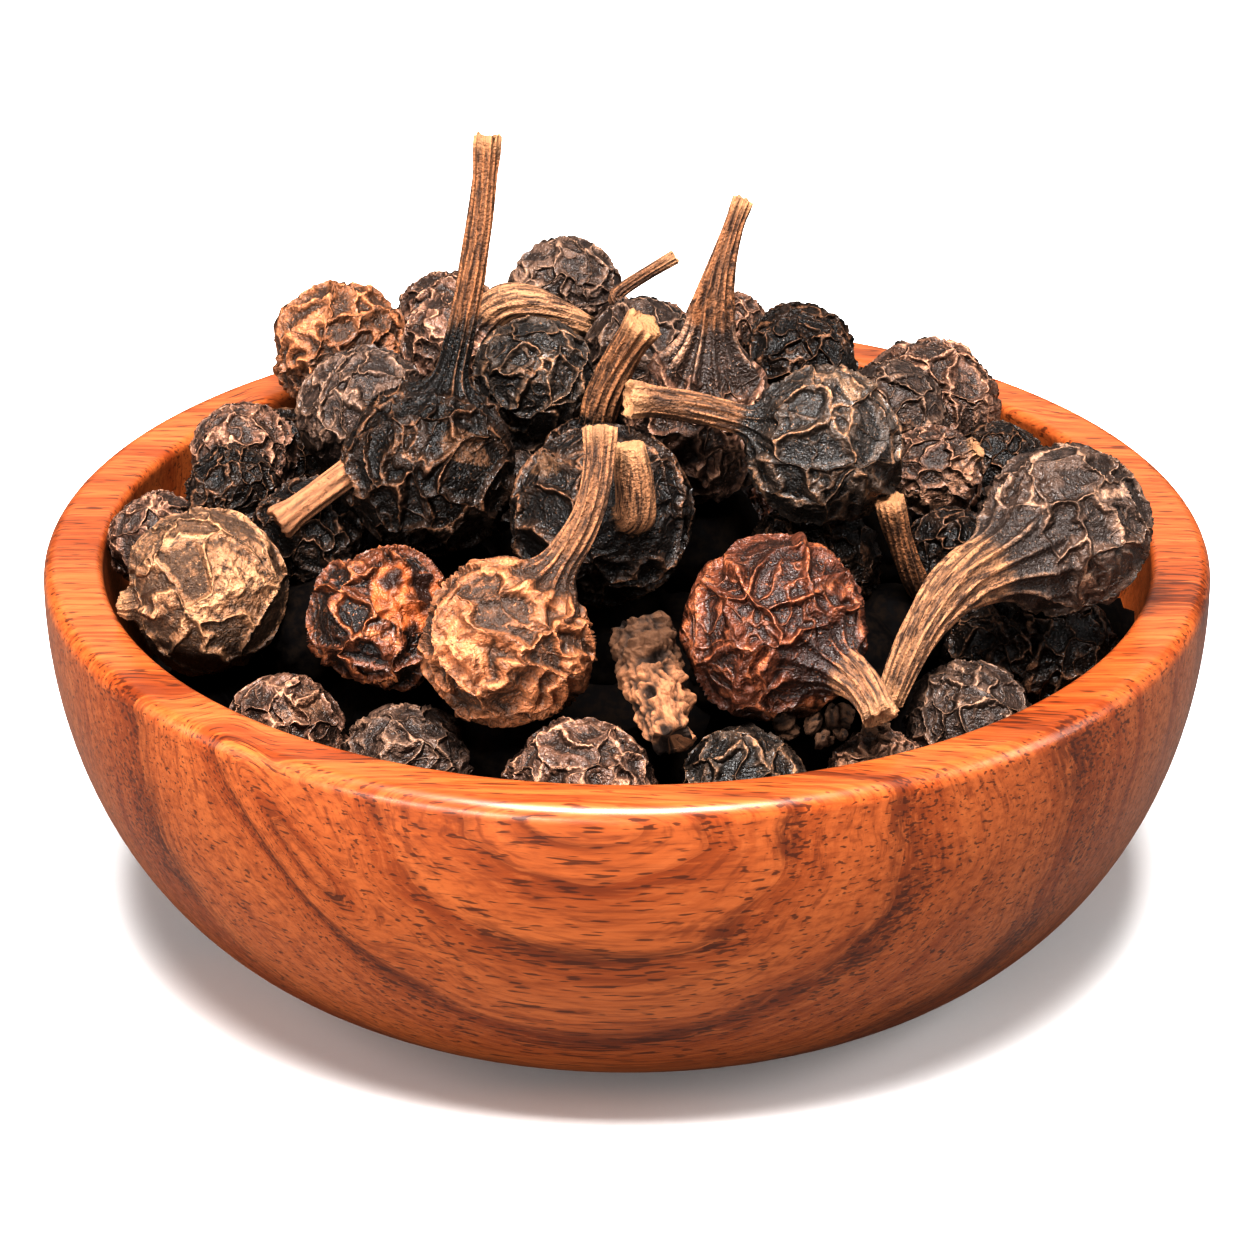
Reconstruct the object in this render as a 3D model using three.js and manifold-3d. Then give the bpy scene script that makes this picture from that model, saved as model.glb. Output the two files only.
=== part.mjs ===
// A small turned wooden bowl heaped with dried cubeb pepper, the tailed pepper. Millimetres, +Z up,
// the origin at the middle of the bowl's foot. The heap is one solid: a domed core, a layer of
// berries half sunk in it, the berries that show on top with their stalks, and a bit of the spike
// that the berries grew on.
import * as THREE from 'three';
import { mergeVertices } from 'three/addons/utils/BufferGeometryUtils.js';
import Module from 'manifold-3d';

const wasm = await Module();
wasm.setup();

// ---- the bowl ----
const BOWL_RADIUS = 21;          // outer radius at the widest
const BOWL_HEIGHT = 14.65;
const BELLY_HEIGHT = 14.0;       // the height at which the bowl is widest
const FOOT_RADIUS = 10.6;        // the flat that it stands on
const RIM_INNER_RADIUS = 19.0;
const RIM_ROUNDING = 0.45;       // softened edges of the rim
const FLOOR_HEIGHT = 2.6;        // wood under the hollow
const FLOOR_RADIUS = 8.0;        // flat part of the hollow's floor
const BOWL_SIDES = 44;
const CURVE_STEPS = 8;
const CORNER_STEPS = 2;

// ---- the heap ----
const WALL_GAP = 0.3;            // clear space between the heap and the bowl
const HEAP_EDGE_HEIGHT = 13.6;   // height of the top berries' middles at the wall
const HEAP_RISE = 5.3;           // how much higher they lie in the middle of the bowl
const HEAP_TILT = 0.13;          // and how much higher for each mm towards the back
const CORE_DEPTH = 4.5;          // how far the core's surface is below those middles
const CORE_SIDES = 24;
const CORE_STEPS = 4;
const SUNK_SIZE = 4.8;           // berries of the layer below, each under one that shows
const SUNK_INSET = 0.97;         // they lie a little nearer to the middle of the bowl
const SUNK_SPACING = 4.2;        // least distance between two of them
const FILL_TRIES = 280;          // places tried for the berries between and behind those
const FILL_SIZES = [4.6, 4.2, 3.8];
const FILL_REACH = 16.4;
const FILL_FRONT = 4.0;          // in front of this line across the bowl they lie deep
const FILL_DEPTHS = [4.2, 3.6, 3.0, 2.4, 1.8, 1.2, 0.6, 0];   // tried below the heap's top
const DEEP = 3.0;                // from this depth on a berry is mostly hidden
const SQUEEZE = 0.6;             // how far two berries below may press into each other
const LUMP = 0.035;              // how far a dried berry is from round, as a share of its radius
const FACET_ALLOWANCE = 1.03;    // a ball of flat faces is made this much larger
const SUNK_ALLOWANCE = 1.12;     // and one of twenty faces this much
const LARGE_BERRY = 6.0;         // from this size on a berry has more faces
const STALK_SIDES = 6;
const STALK_STEPS = 5;
const GOLDEN_ANGLE = Math.PI * (3 - Math.sqrt(5));

// The berries that show: size is the diameter and at is the middle. A stalk leaves along aim, or
// straight for its tip where there is no aim. tip is measured from the berry's middle, and stem
// holds the stalk's radius at the neck and at the tip.
const BERRIES = [
  // the five large ones in the middle
  { size: 6.1, at: [-7.0, -2.9, 19.0], tip: [2.1, 3.5, 11.4], aim: [1, 1.1, 4], stem: [0.75, 0.42] },
  { size: 6.4, at: [-0.9, -5.2, 18.2], tip: [1.0, -3.5, 4.2], aim: [1, -2.6, 1.6], stem: [0.8, 0.62] },
  { size: 5.9, at: [-4.1, -12.0, 16.5], tip: [3.2, 2.8, 6.8], aim: [2, 0.9, 2.9], stem: [0.75, 0.5] },
  { size: 6.3, at: [5.1, -11.1, 16.6], tip: [3.5, -4.5, -1.2], aim: [2, -2.2, 0.4], stem: [0.9, 0.5] },
  { size: 5.7, at: [6.9, -3.1, 19.9], tip: [-6.8, -1.1, 2.3], aim: [-3, -0.3, 1.2], stem: [0.75, 0.6] },
  // at the right and left walls
  { size: 6.1, at: [15.4, -4.7, 17.4], tip: [-6.4, -8.1, -2.8], aim: [-2.4, -2.8, 0.1], stem: [1.3, 0.45] },
  { size: 5.9, at: [-14.9, -5.4, 15.4], tip: [-3.3, -0.8, -0.3], aim: [-3, -0.8, 0], stem: [1.5, 0.2] },
  { size: 5.1, at: [-8.6, -8.2, 15.6] },
  // behind the large ones
  { size: 4.4, at: [-3.3, 2.2, 20.2] },
  { size: 5.4, at: [2.6, -0.2, 19.4], tip: [1.5, 0.8, 8.4], aim: [0.3, 0, 3], stem: [1.2, 0.36] },
  { size: 3.4, at: [-1.4, -0.6, 18.1], tip: [2.0, -0.4, 5.7], aim: [0.5, -0.2, 2.5], stem: [0.7, 0.6] },
  { size: 4.8, at: [-9.7, 5.5, 17.4] },
  { size: 5.1, at: [-10.9, 12.2, 17.0] },
  { size: 4.0, at: [-14.1, 5.8, 15.5] },
  { size: 3.3, at: [-14.2, 0.2, 16.7] },
  { size: 3.6, at: [-17.0, 0.9, 14.4] },
  { size: 4.1, at: [-11.3, -2.1, 16.0] },
  { size: 4.4, at: [-2.3, 14.5, 18.3] },
  { size: 3.9, at: [-6.7, 15.3, 17.1] },
  { size: 3.9, at: [-6.2, 10.0, 18.2], tip: [4.9, -0.9, 1.1], aim: [1.5, -0.7, 1.8], stem: [0.8, 0.55] },
  { size: 3.7, at: [0.9, 11.6, 17.4], tip: [0.9, 0.9, 3.3], aim: [-0.4, 0.3, 1], stem: [0.4, 0.33] },
  { size: 3.5, at: [3.7, 14.1, 16.8] },
  { size: 4.2, at: [6.4, 10.9, 17.3] },
  { size: 5.2, at: [11.3, 10.4, 15.5] },
  { size: 3.6, at: [11.2, 3.6, 15.8], tip: [1.5, -0.3, 1.2], stem: [0.5, 0.4] },
  { size: 3.5, at: [11.6, -1.2, 14.8], tip: [-2.4, -3.7, 3.9], aim: [-0.8, -2.6, -0.3], stem: [0.6, 0.42] },
  { size: 3.6, at: [3.7, 1.5, 14.8] },
  // along the front wall
  { size: 3.9, at: [13.2, -5.1, 12.9] },
  { size: 3.4, at: [16.3, -3.7, 11.3] },
  { size: 4.4, at: [11.8, -11.4, 13.1] },
  { size: 3.7, at: [8.6, -13.7, 12.2] },
  { size: 4.0, at: [4.1, -14.2, 12.2] },
  { size: 5.1, at: [-1.6, -15.3, 12.5] },
  { size: 4.6, at: [-7.5, -12.4, 11.9] },
  { size: 4.0, at: [-11.8, -10.7, 12.5] },
];

// A stalk broken off on the left, and the bit of spike in the front, knobbly with the scars of
// berries that fell off: each is a row of places along its middle line.
const LOOSE_STALK = [[-9.8, -3.3, 19.0], [-11.0, -3.6, 18.2], [-12.3, -4.1, 17.4]];
const LOOSE_STALK_RADIUS = 0.5;
const SPIKE = [[0.6, -11.2, 16.6], [0.9, -13.0, 15.1], [1.5, -15.3, 13.9]];
const SPIKE_RADIUS = 0.95;
const SPIKE_KNOBS = 3.5;         // swellings along the bit of spike
const SPIKE_KNOB_HEIGHT = 0.18;

const wood = new THREE.MeshStandardMaterial({ color: 0xb5562a, roughness: 0.42, metalness: 0 });
const driedBerry = new THREE.MeshStandardMaterial({ color: 0x4a3226, roughness: 0.7, metalness: 0 });

const vector = (place) => new THREE.Vector3(...place);

// ---- making solids ----

function asSolid(geometry) {
  geometry.deleteAttribute('normal');
  geometry.deleteAttribute('uv');
  const merged = mergeVertices(geometry, 1e-4);
  return new wasm.Manifold(new wasm.Mesh({
    numProp: 3,
    vertProperties: new Float32Array(merged.getAttribute('position').array),
    triVerts: new Uint32Array(merged.getIndex().array),
  }));
}

function asGeometry(solid) {
  const mesh = solid.getMesh();
  const geometry = new THREE.BufferGeometry();
  geometry.setAttribute('position', new THREE.BufferAttribute(mesh.vertProperties, 3));
  geometry.setIndex(new THREE.BufferAttribute(mesh.triVerts, 1));
  geometry.computeVertexNormals();
  return geometry;
}

// Turns a profile of [radius, height] about the Z axis. It starts and ends on the axis.
function turned(profile, sides) {
  const geometry = new THREE.LatheGeometry(profile.map(([r, z]) => new THREE.Vector2(r, z)), sides);
  return geometry.rotateX(Math.PI / 2);
}

// ---- the bowl ----

// Both faces of the wall are quarter ellipses that stand on a flat floor, written as points from
// the floor up: at angle a from the foot, r = flat + (wide - flat) sin a, z = low + rise (1 - cos a).
function quarterEllipse(flat, wide, low, high) {
  return Array.from({ length: CURVE_STEPS + 1 }, (_, i) => {
    const a = (i / CURVE_STEPS) * Math.PI / 2;
    return [flat + (wide - flat) * Math.sin(a), low + (high - low) * (1 - Math.cos(a))];
  });
}

function roundedCorner(middle, from, to) {
  return Array.from({ length: CORNER_STEPS + 1 }, (_, i) => {
    const a = from + (i / CORNER_STEPS) * (to - from);
    return [middle[0] + RIM_ROUNDING * Math.cos(a), middle[1] + RIM_ROUNDING * Math.sin(a)];
  });
}

function bowlGeometry() {
  const cornerHeight = BOWL_HEIGHT - RIM_ROUNDING;
  const outerWall = quarterEllipse(FOOT_RADIUS, BOWL_RADIUS, 0, BELLY_HEIGHT);
  const innerWall = quarterEllipse(FLOOR_RADIUS, RIM_INNER_RADIUS, FLOOR_HEIGHT, cornerHeight - 0.2);
  return turned([
    [0, 0],
    ...outerWall,
    ...roundedCorner([BOWL_RADIUS - RIM_ROUNDING, cornerHeight], 0, Math.PI / 2),
    ...roundedCorner([RIM_INNER_RADIUS + RIM_ROUNDING, cornerHeight], Math.PI / 2, Math.PI),
    ...innerWall.reverse(),
    [0, FLOOR_HEIGHT],
  ], BOWL_SIDES);
}

// ---- the heap ----

// The height of the top berries' middles: it falls from the middle of the bowl to its wall along a
// quarter of a cosine, and rises evenly towards the back.
function heapHeight(x, y) {
  const share = Math.min(1, Math.hypot(x, y) / RIM_INNER_RADIUS);
  return HEAP_EDGE_HEIGHT + HEAP_RISE * Math.cos((Math.PI / 2) * share) + HEAP_TILT * y;
}

function coreGeometry() {
  const edgeHeight = HEAP_EDGE_HEIGHT - CORE_DEPTH;
  const wallReach = RIM_INNER_RADIUS - WALL_GAP;
  const wall = quarterEllipse(FLOOR_RADIUS, wallReach, FLOOR_HEIGHT + WALL_GAP, BOWL_HEIGHT)
    .filter(([, z]) => z < edgeHeight);
  const edge = wall[wall.length - 1][0];
  const dome = Array.from({ length: CORE_STEPS + 1 }, (_, i) => {
    const radius = edge * (1 - i / CORE_STEPS);
    return [radius, heapHeight(radius, 0) - CORE_DEPTH];
  });
  const geometry = turned([[0, FLOOR_HEIGHT + WALL_GAP], ...wall, ...dome], CORE_SIDES);
  return leaned(geometry, edgeHeight);
}

// Tilts a shape towards the back by raising each point, fully from the given height up.
function leaned(geometry, fullHeight) {
  const places = geometry.getAttribute('position');
  for (let i = 0; i < places.count; i += 1) {
    const share = Math.min(1, Math.max(0, places.getZ(i) - FLOOR_HEIGHT) / (fullHeight - FLOOR_HEIGHT));
    places.setZ(i, places.getZ(i) + HEAP_TILT * places.getY(i) * share);
  }
  return geometry;
}

// The room that the heap may fill: the hollow less the gap, and free above the rim.
function roomGeometry() {
  const wall = quarterEllipse(FLOOR_RADIUS, RIM_INNER_RADIUS - WALL_GAP,
    FLOOR_HEIGHT + WALL_GAP / 2, BOWL_HEIGHT - RIM_ROUNDING);
  const clear = BOWL_HEIGHT + WALL_GAP;
  const above = 3 * BOWL_HEIGHT;
  return turned([[0, FLOOR_HEIGHT + WALL_GAP / 2], ...wall, [RIM_INNER_RADIUS - WALL_GAP, clear],
    [BOWL_RADIUS, clear], [BOWL_RADIUS, above], [0, above]], CORE_SIDES);
}

// A dried berry: a ball of flat faces whose radius varies with the direction by cosines.
function berryGeometry({ size, at, sunk }, seed) {
  const shown = size < LARGE_BERRY ? 1 : 2;
  const geometry = new THREE.IcosahedronGeometry(1, sunk ? 0 : shown);
  const allowance = sunk ? SUNK_ALLOWANCE : FACET_ALLOWANCE;
  const places = geometry.getAttribute('position');
  const way = new THREE.Vector3();
  for (let i = 0; i < places.count; i += 1) {
    way.fromBufferAttribute(places, i).normalize();
    const lump = Math.cos(2.3 * way.x + seed) * Math.cos(2.7 * way.y + 1.7 * seed)
      + Math.cos(3.9 * way.z + 2.3 * seed) * Math.cos(3.1 * way.x - seed);
    way.multiplyScalar((size / 2) * allowance * (1 + LUMP * lump));
    places.setXYZ(i, way.x, way.y, way.z);
  }
  return geometry.translate(...at);
}

// A round bar along a curve: at each step a ring of points about the curve, and a point at each
// end. radiusAt gives its radius from 0 at the start to 1 at the end.
function barGeometry(curve, radiusAt, steps) {
  const frames = curve.computeFrenetFrames(steps, false);
  const places = [...curve.getPointAt(0).toArray()];
  for (let i = 0; i <= steps; i += 1) {
    const middle = curve.getPointAt(i / steps);
    const radius = radiusAt(i / steps);
    for (let j = 0; j < STALK_SIDES; j += 1) {
      const a = (j / STALK_SIDES) * 2 * Math.PI;
      const point = middle.clone()
        .addScaledVector(frames.normals[i], radius * Math.cos(a))
        .addScaledVector(frames.binormals[i], radius * Math.sin(a));
      places.push(...point.toArray());
    }
  }
  places.push(...curve.getPointAt(1).toArray());
  const last = places.length / 3 - 1;
  const ring = (i, j) => 1 + i * STALK_SIDES + (j % STALK_SIDES);
  const faces = [];
  for (let j = 0; j < STALK_SIDES; j += 1) {
    faces.push(0, ring(0, j + 1), ring(0, j));
    faces.push(last, ring(steps, j), ring(steps, j + 1));
    for (let i = 0; i < steps; i += 1) {
      faces.push(ring(i, j), ring(i, j + 1), ring(i + 1, j));
      faces.push(ring(i, j + 1), ring(i + 1, j + 1), ring(i + 1, j));
    }
  }
  const geometry = new THREE.BufferGeometry();
  geometry.setAttribute('position', new THREE.Float32BufferAttribute(places, 3));
  geometry.setIndex(faces);
  return geometry;
}

// A stalk runs from inside the berry to its tip along a quadratic curve that leaves along aim,
// and it thins from the neck's radius to the tip's with the cube of what is left of its length.
function stalkGeometry({ size, at, tip, aim, stem }) {
  const middle = vector(at);
  const end = middle.clone().add(vector(tip));
  const way = vector(aim ?? tip).normalize();
  const neck = middle.clone().addScaledVector(way, 0.4 * size);
  const bend = neck.clone().addScaledVector(way, 0.45 * neck.distanceTo(end));
  const [neckRadius, tipRadius] = stem;
  const radiusAt = (u) => tipRadius + (neckRadius - tipRadius) * (1 - u) ** 3;
  return barGeometry(new THREE.QuadraticBezierCurve3(neck, bend, end), radiusAt, STALK_STEPS);
}

function looseStalkGeometry() {
  const curve = new THREE.CatmullRomCurve3(LOOSE_STALK.map(vector));
  return barGeometry(curve, () => LOOSE_STALK_RADIUS, STALK_STEPS);
}

function spikeGeometry() {
  const curve = new THREE.CatmullRomCurve3(SPIKE.map(vector));
  const radiusAt = (u) => SPIKE_RADIUS + SPIKE_KNOB_HEIGHT * Math.cos(2 * Math.PI * SPIKE_KNOBS * u);
  return barGeometry(curve, radiusAt, 2 * STALK_STEPS);
}

const distance = (a, b) => vector(a).distanceTo(vector(b));

// The layer below: under each berry that shows lies another, unless one is there already.
function sunkBerries() {
  const sunk = [];
  BERRIES.forEach(({ size, at }) => {
    const drop = (size + SUNK_SIZE) / 2 - SQUEEZE;
    const place = [at[0] * SUNK_INSET, at[1] * SUNK_INSET, at[2] - drop];
    if (sunk.every((other) => distance(other.at, place) > SUNK_SPACING)) {
      sunk.push({ size: SUNK_SIZE, at: place, sunk: true });
    }
  });
  return sunk;
}

const fits = (size, place, others) => others.every(
  (other) => distance(other.at, place) > (size + other.size) / 2 - SQUEEZE,
);

// Berries between and behind those: places on a spiral from the wall inwards are tried in turn,
// each from its depth upwards, and a berry stays where it fits. The front is left with deep gaps.
function fillBerries(others) {
  const added = [];
  for (let k = 0; k < FILL_TRIES; k += 1) {
    const radius = FILL_REACH * Math.sqrt(1 - k / FILL_TRIES);
    const x = radius * Math.cos(k * GOLDEN_ANGLE);
    const y = radius * Math.sin(k * GOLDEN_ANGLE);
    const size = FILL_SIZES[k % FILL_SIZES.length];
    const depth = FILL_DEPTHS.filter((low) => y > FILL_FRONT || low >= DEEP)
      .find((low) => fits(size, [x, y, heapHeight(x, y) - low], [...others, ...added]));
    if (depth !== undefined) {
      added.push({ size, at: [x, y, heapHeight(x, y) - depth], sunk: depth >= DEEP });
    }
  }
  return added;
}

function heapGeometry() {
  const sunk = sunkBerries();
  const fill = fillBerries([...BERRIES, ...sunk]);
  const berries = [...BERRIES, ...fill, ...sunk];
  const stalks = BERRIES.filter((berry) => berry.tip);
  const pieces = [
    coreGeometry(),
    ...berries.map((berry, i) => berryGeometry(berry, i + 1)),
    ...stalks.map(stalkGeometry),
    looseStalkGeometry(),
    spikeGeometry(),
  ].map(asSolid);
  const joined = pieces.reduce((heap, piece) => heap.add(piece));
  const trimmed = joined.intersect(asSolid(roomGeometry()));
  // The largest body is the heap. What came loose, and the skins of sealed hollows, are dropped.
  const bodies = trimmed.decompose().sort((a, b) => b.volume() - a.volume());
  return asGeometry(bodies[0]);
}

function part(name, geometry, material) {
  const mesh = new THREE.Mesh(geometry, material);
  mesh.name = name;
  return mesh;
}

const bowlOfCubebs = new THREE.Group();
bowlOfCubebs.add(part('bowl', bowlGeometry(), wood));
bowlOfCubebs.add(part('cubeb_heap', heapGeometry(), driedBerry));

export default bowlOfCubebs;
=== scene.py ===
"""A small turned wooden bowl heaped with dried cubeb pepper, the tailed pepper.

Shapes are worked out in millimetres in the frame's axes, and a mesh gets them in metres.
"""
import math

import bpy
import numpy as np
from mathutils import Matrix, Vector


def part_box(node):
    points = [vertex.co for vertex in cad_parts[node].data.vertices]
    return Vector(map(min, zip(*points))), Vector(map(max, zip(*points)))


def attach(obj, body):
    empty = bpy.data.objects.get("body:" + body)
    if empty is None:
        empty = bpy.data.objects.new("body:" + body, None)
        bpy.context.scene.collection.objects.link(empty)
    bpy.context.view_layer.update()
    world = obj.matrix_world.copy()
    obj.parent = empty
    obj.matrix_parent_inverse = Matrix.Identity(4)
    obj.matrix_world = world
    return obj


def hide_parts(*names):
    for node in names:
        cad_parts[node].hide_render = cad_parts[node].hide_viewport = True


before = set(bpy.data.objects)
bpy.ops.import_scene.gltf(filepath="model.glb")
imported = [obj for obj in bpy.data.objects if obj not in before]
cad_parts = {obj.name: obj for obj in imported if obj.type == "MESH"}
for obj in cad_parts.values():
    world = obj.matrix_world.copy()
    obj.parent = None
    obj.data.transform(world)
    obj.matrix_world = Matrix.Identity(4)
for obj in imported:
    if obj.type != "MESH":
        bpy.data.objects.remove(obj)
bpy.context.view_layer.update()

# ---- The bowl -------------------------------------------------------------------------------
# One block of reddish hardwood, turned on a lathe with its fibre lying across, sanded and oiled
# to a satin. Its wall is a quarter ellipse inside and out, with a flat foot and a flat rim whose
# two edges are softened.
MM = 0.001
BOWL_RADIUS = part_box("bowl")[1][0] / MM
BOWL_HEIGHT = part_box("bowl")[1][2] / MM
BELLY_HEIGHT = BOWL_HEIGHT - 0.65
FOOT_RADIUS = 10.6
RIM_INNER_RADIUS = 18.85
OUTER_ROUNDING = 0.60
INNER_ROUNDING = 0.35
INNER_LAND = 0.2                 # a straight step between the inner wall and its rounded edge
FLOOR_HEIGHT = 2.6
FLOOR_RADIUS = 8.0
WALL_STEPS = 56
CORNER_STEPS = 8
BOWL_COLUMNS = 216


def quarter_ellipse(flat, wide, low, high, steps=WALL_STEPS):
    """Wall profile: at angle a the radius is flat + (wide - flat) sin a, and the height is
    low + (high - low)(1 - cos a)."""
    a = np.linspace(0, np.pi / 2, steps)
    return np.stack([flat + (wide - flat) * np.sin(a), low + (high - low) * (1 - np.cos(a))], -1)


def rim_corner(radius, rounding, start, end):
    """A quarter circle about a middle at that radius, just under the rim, from start to end."""
    a = np.linspace(start, end, CORNER_STEPS)
    return np.stack([radius + rounding * np.cos(a), BOWL_HEIGHT - rounding + rounding * np.sin(a)], -1)


def turned_rings(profile, columns):
    """Each (radius, height) of the profile becomes a ring (r cos a, r sin a, height)."""
    a = np.linspace(0, 2 * np.pi, columns, endpoint=False)
    r, z = profile[:, :1], profile[:, 1:]
    return np.stack([r * np.cos(a), r * np.sin(a), z + 0 * a], -1)


def closed_skin(rings, start, end, cell=(0, 0, 1, 1)):
    """A skin through rings of points, closed by a fan to the points start and end.

    Returns the points, the four-sided and three-sided faces, and a place in the unit square for
    each face corner: the column goes across the given cell and the row up it.
    """
    rows, columns = rings.shape[:2]
    points = np.vstack([np.reshape(start, (1, 3)), rings.reshape(-1, 3), np.reshape(end, (1, 3))])
    i, j = np.meshgrid(np.arange(rows - 1), np.arange(columns), indexing="ij")
    k = (j + 1) % columns
    here, beyond = 1 + i * columns, 1 + (i + 1) * columns
    quads = np.stack([here + j, here + k, beyond + k, beyond + j], -1)
    j0 = np.arange(columns)
    k0 = (j0 + 1) % columns
    first, last = 0 * j0, 0 * j0 + len(points) - 1
    top = 1 + (rows - 1) * columns
    fans = np.vstack([np.stack([first, 1 + k0, 1 + j0], -1), np.stack([last, top + j0, top + k0], -1)])

    left, low, right, high = cell

    def place(column, row):
        """Where that column and row lie in the cell: row -1 is its lower edge and row rows its upper."""
        across = left + (right - left) * column / columns
        up = low + (high - low) * (row + 1) / (rows + 1)
        return np.stack([across, up + 0 * across], -1)

    quad_places = np.stack([place(j, i), place(j + 1, i), place(j + 1, i + 1), place(j, i + 1)], -2)
    fan_places = np.vstack([
        np.stack([place(j0 + 0.5, -1), place(j0 + 1, 0), place(j0, 0)], -2),
        np.stack([place(j0 + 0.5, rows), place(j0, rows - 1), place(j0 + 1, rows - 1)], -2)])
    return {"points": points, "quads": quads.reshape(-1, 4), "fans": fans,
            "quad_places": quad_places.reshape(-1, 4, 2), "fan_places": fan_places}


def joined(skins):
    """Several skins as one: their points and attributes one after another, their faces renumbered."""
    shift = np.cumsum([0] + [len(skin["points"]) for skin in skins[:-1]])
    faces = ("quads", "fans")
    whole = {key: np.concatenate([skin[key] for skin in skins]) for key in skins[0] if key not in faces}
    for key in faces:
        whole[key] = np.concatenate([skin[key] + n for skin, n in zip(skins, shift)])
    return whole


def piece(name, skin, material, slot, *nodes):
    mesh = bpy.data.meshes.new(name)
    quads, fans = skin["quads"], skin["fans"]
    mesh.vertices.add(len(skin["points"]))
    mesh.vertices.foreach_set("co", (skin["points"] * MM).astype(np.float32).ravel())
    mesh.loops.add(quads.size + fans.size)
    mesh.loops.foreach_set("vertex_index", np.concatenate([quads.ravel(), fans.ravel()]).astype(np.int32))
    mesh.polygons.add(len(quads) + len(fans))
    starts = np.concatenate([4 * np.arange(len(quads)), quads.size + 3 * np.arange(len(fans))])
    mesh.polygons.foreach_set("loop_start", starts.astype(np.int32))
    mesh.polygons.foreach_set("use_smooth", np.ones(len(starts), bool))
    layout = mesh.uv_layers.new(name="OFBake")
    places = np.concatenate([skin["quad_places"].reshape(-1, 2), skin["fan_places"].reshape(-1, 2)])
    layout.data.foreach_set("uv", places.astype(np.float32).ravel())
    for key, values in skin.items():
        if key in ("points", "quads", "fans", "quad_places", "fan_places"):
            continue
        kind, field = ("FLOAT_VECTOR", "vector") if values.ndim == 2 else ("FLOAT", "value")
        attribute = mesh.attributes.new(key, kind, "POINT")
        attribute.data.foreach_set(field, values.astype(np.float32).ravel())
    mesh.update()
    mesh.validate()
    made = bpy.data.objects.new(name, mesh)
    bpy.context.scene.collection.objects.link(made)
    made.data.materials.append(material)
    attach(made, "root")
    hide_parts(*nodes)


class Finish:
    """A material's node tree, with short calls for the nodes that the finishes here are made of."""

    def __init__(self, name):
        self.material = bpy.data.materials.new(name)
        self.material.use_nodes = True
        self.nodes = self.material.node_tree.nodes
        self.shader = self.nodes["Principled BSDF"]
        self.seat = self.node("ShaderNodeTexCoord").outputs["Object"]

    def node(self, kind, **settings):
        made = self.nodes.new(kind)
        for key, value in settings.items():
            setattr(made, key, value)
        return made

    def link(self, source, socket):
        self.material.node_tree.links.new(source, socket)

    def put(self, socket, value):
        """A plain value, or a link where the value is another node's output."""
        if isinstance(value, bpy.types.NodeSocket):
            self.link(value, socket)
        else:
            socket.default_value = value

    def attribute(self, name, output="Fac"):
        return self.node("ShaderNodeAttribute", attribute_name=name).outputs[output]

    def placed(self, vector, scale=(1, 1, 1), location=(0, 0, 0)):
        made = self.node("ShaderNodeMapping")
        self.link(vector, made.inputs["Vector"])
        made.inputs["Scale"].default_value = scale
        made.inputs["Location"].default_value = location
        return made.outputs["Vector"]

    def noise(self, vector, scale, detail, roughness, output="Fac"):
        made = self.node("ShaderNodeTexNoise")
        self.link(vector, made.inputs["Vector"])
        for key, value in (("Scale", scale), ("Detail", detail), ("Roughness", roughness)):
            made.inputs[key].default_value = value
        return made.outputs[output]

    def parts(self, vector):
        """The three numbers of a vector."""
        made = self.node("ShaderNodeSeparateXYZ")
        self.link(vector, made.inputs[0])
        return list(made.outputs)

    def vector_of(self, *numbers):
        made = self.node("ShaderNodeCombineXYZ")
        for socket, number in zip(made.inputs, numbers):
            self.put(socket, number)
        return made.outputs[0]

    def maths(self, operation, a, b=0.0):
        made = self.node("ShaderNodeMath", operation=operation)
        self.put(made.inputs[0], a)
        self.put(made.inputs[1], b)
        return made.outputs[0]

    def plus(self, a, b):
        return self.maths("ADD", a, b)

    def minus(self, a, b):
        return self.maths("SUBTRACT", a, b)

    def times(self, a, b):
        return self.maths("MULTIPLY", a, b)

    def most(self, a, b):
        return self.maths("MAXIMUM", a, b)

    def least(self, a, b):
        return self.maths("MINIMUM", a, b)

    def graded(self, value, low, high, to_low=0.0, to_high=1.0):
        """value from low..high to to_low..to_high, smoothly, and held at both ends."""
        made = self.node("ShaderNodeMapRange", interpolation_type="SMOOTHSTEP")
        self.put(made.inputs["Value"], value)
        for key, number in zip(("From Min", "From Max", "To Min", "To Max"), (low, high, to_low, to_high)):
            made.inputs[key].default_value = number
        return made.outputs["Result"]

    def mixed(self, share, a, b):
        """Colour a with colour b laid over it by share."""
        made = self.node("ShaderNodeMix", data_type="RGBA")
        self.put(made.inputs[0], share)
        for socket, colour in ((made.inputs[6], a), (made.inputs[7], b)):
            self.put(socket, colour if isinstance(colour, bpy.types.NodeSocket) else (*colour, 1.0))
        return made.outputs[2]

    def bump(self, height, strength, distance):
        made = self.node("ShaderNodeBump")
        made.inputs["Strength"].default_value = strength
        made.inputs["Distance"].default_value = distance
        self.link(height, made.inputs["Height"])
        return made.outputs["Normal"]


PITH = (60.0, 6.0)               # y and z of the trunk's middle, far behind the bowl
FRONT_RING = 81.1                # from there to the ring that draws the innermost U under the rim
RING_GROWTH = 1.52               # each ring nearer to the pith is wider than the one before
RING_RATIO = 2.29
LEAN = 0.06                      # how much nearer the rings lie for each mm to the right
FIGURE = (-11.4, 11.5, 0.66)     # a dent in the trunk: x and z of its middle, and the way it runs
FIGURE_SIZE = (1.6, 7.0)
FIGURE_DEPTH = 2.6


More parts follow.
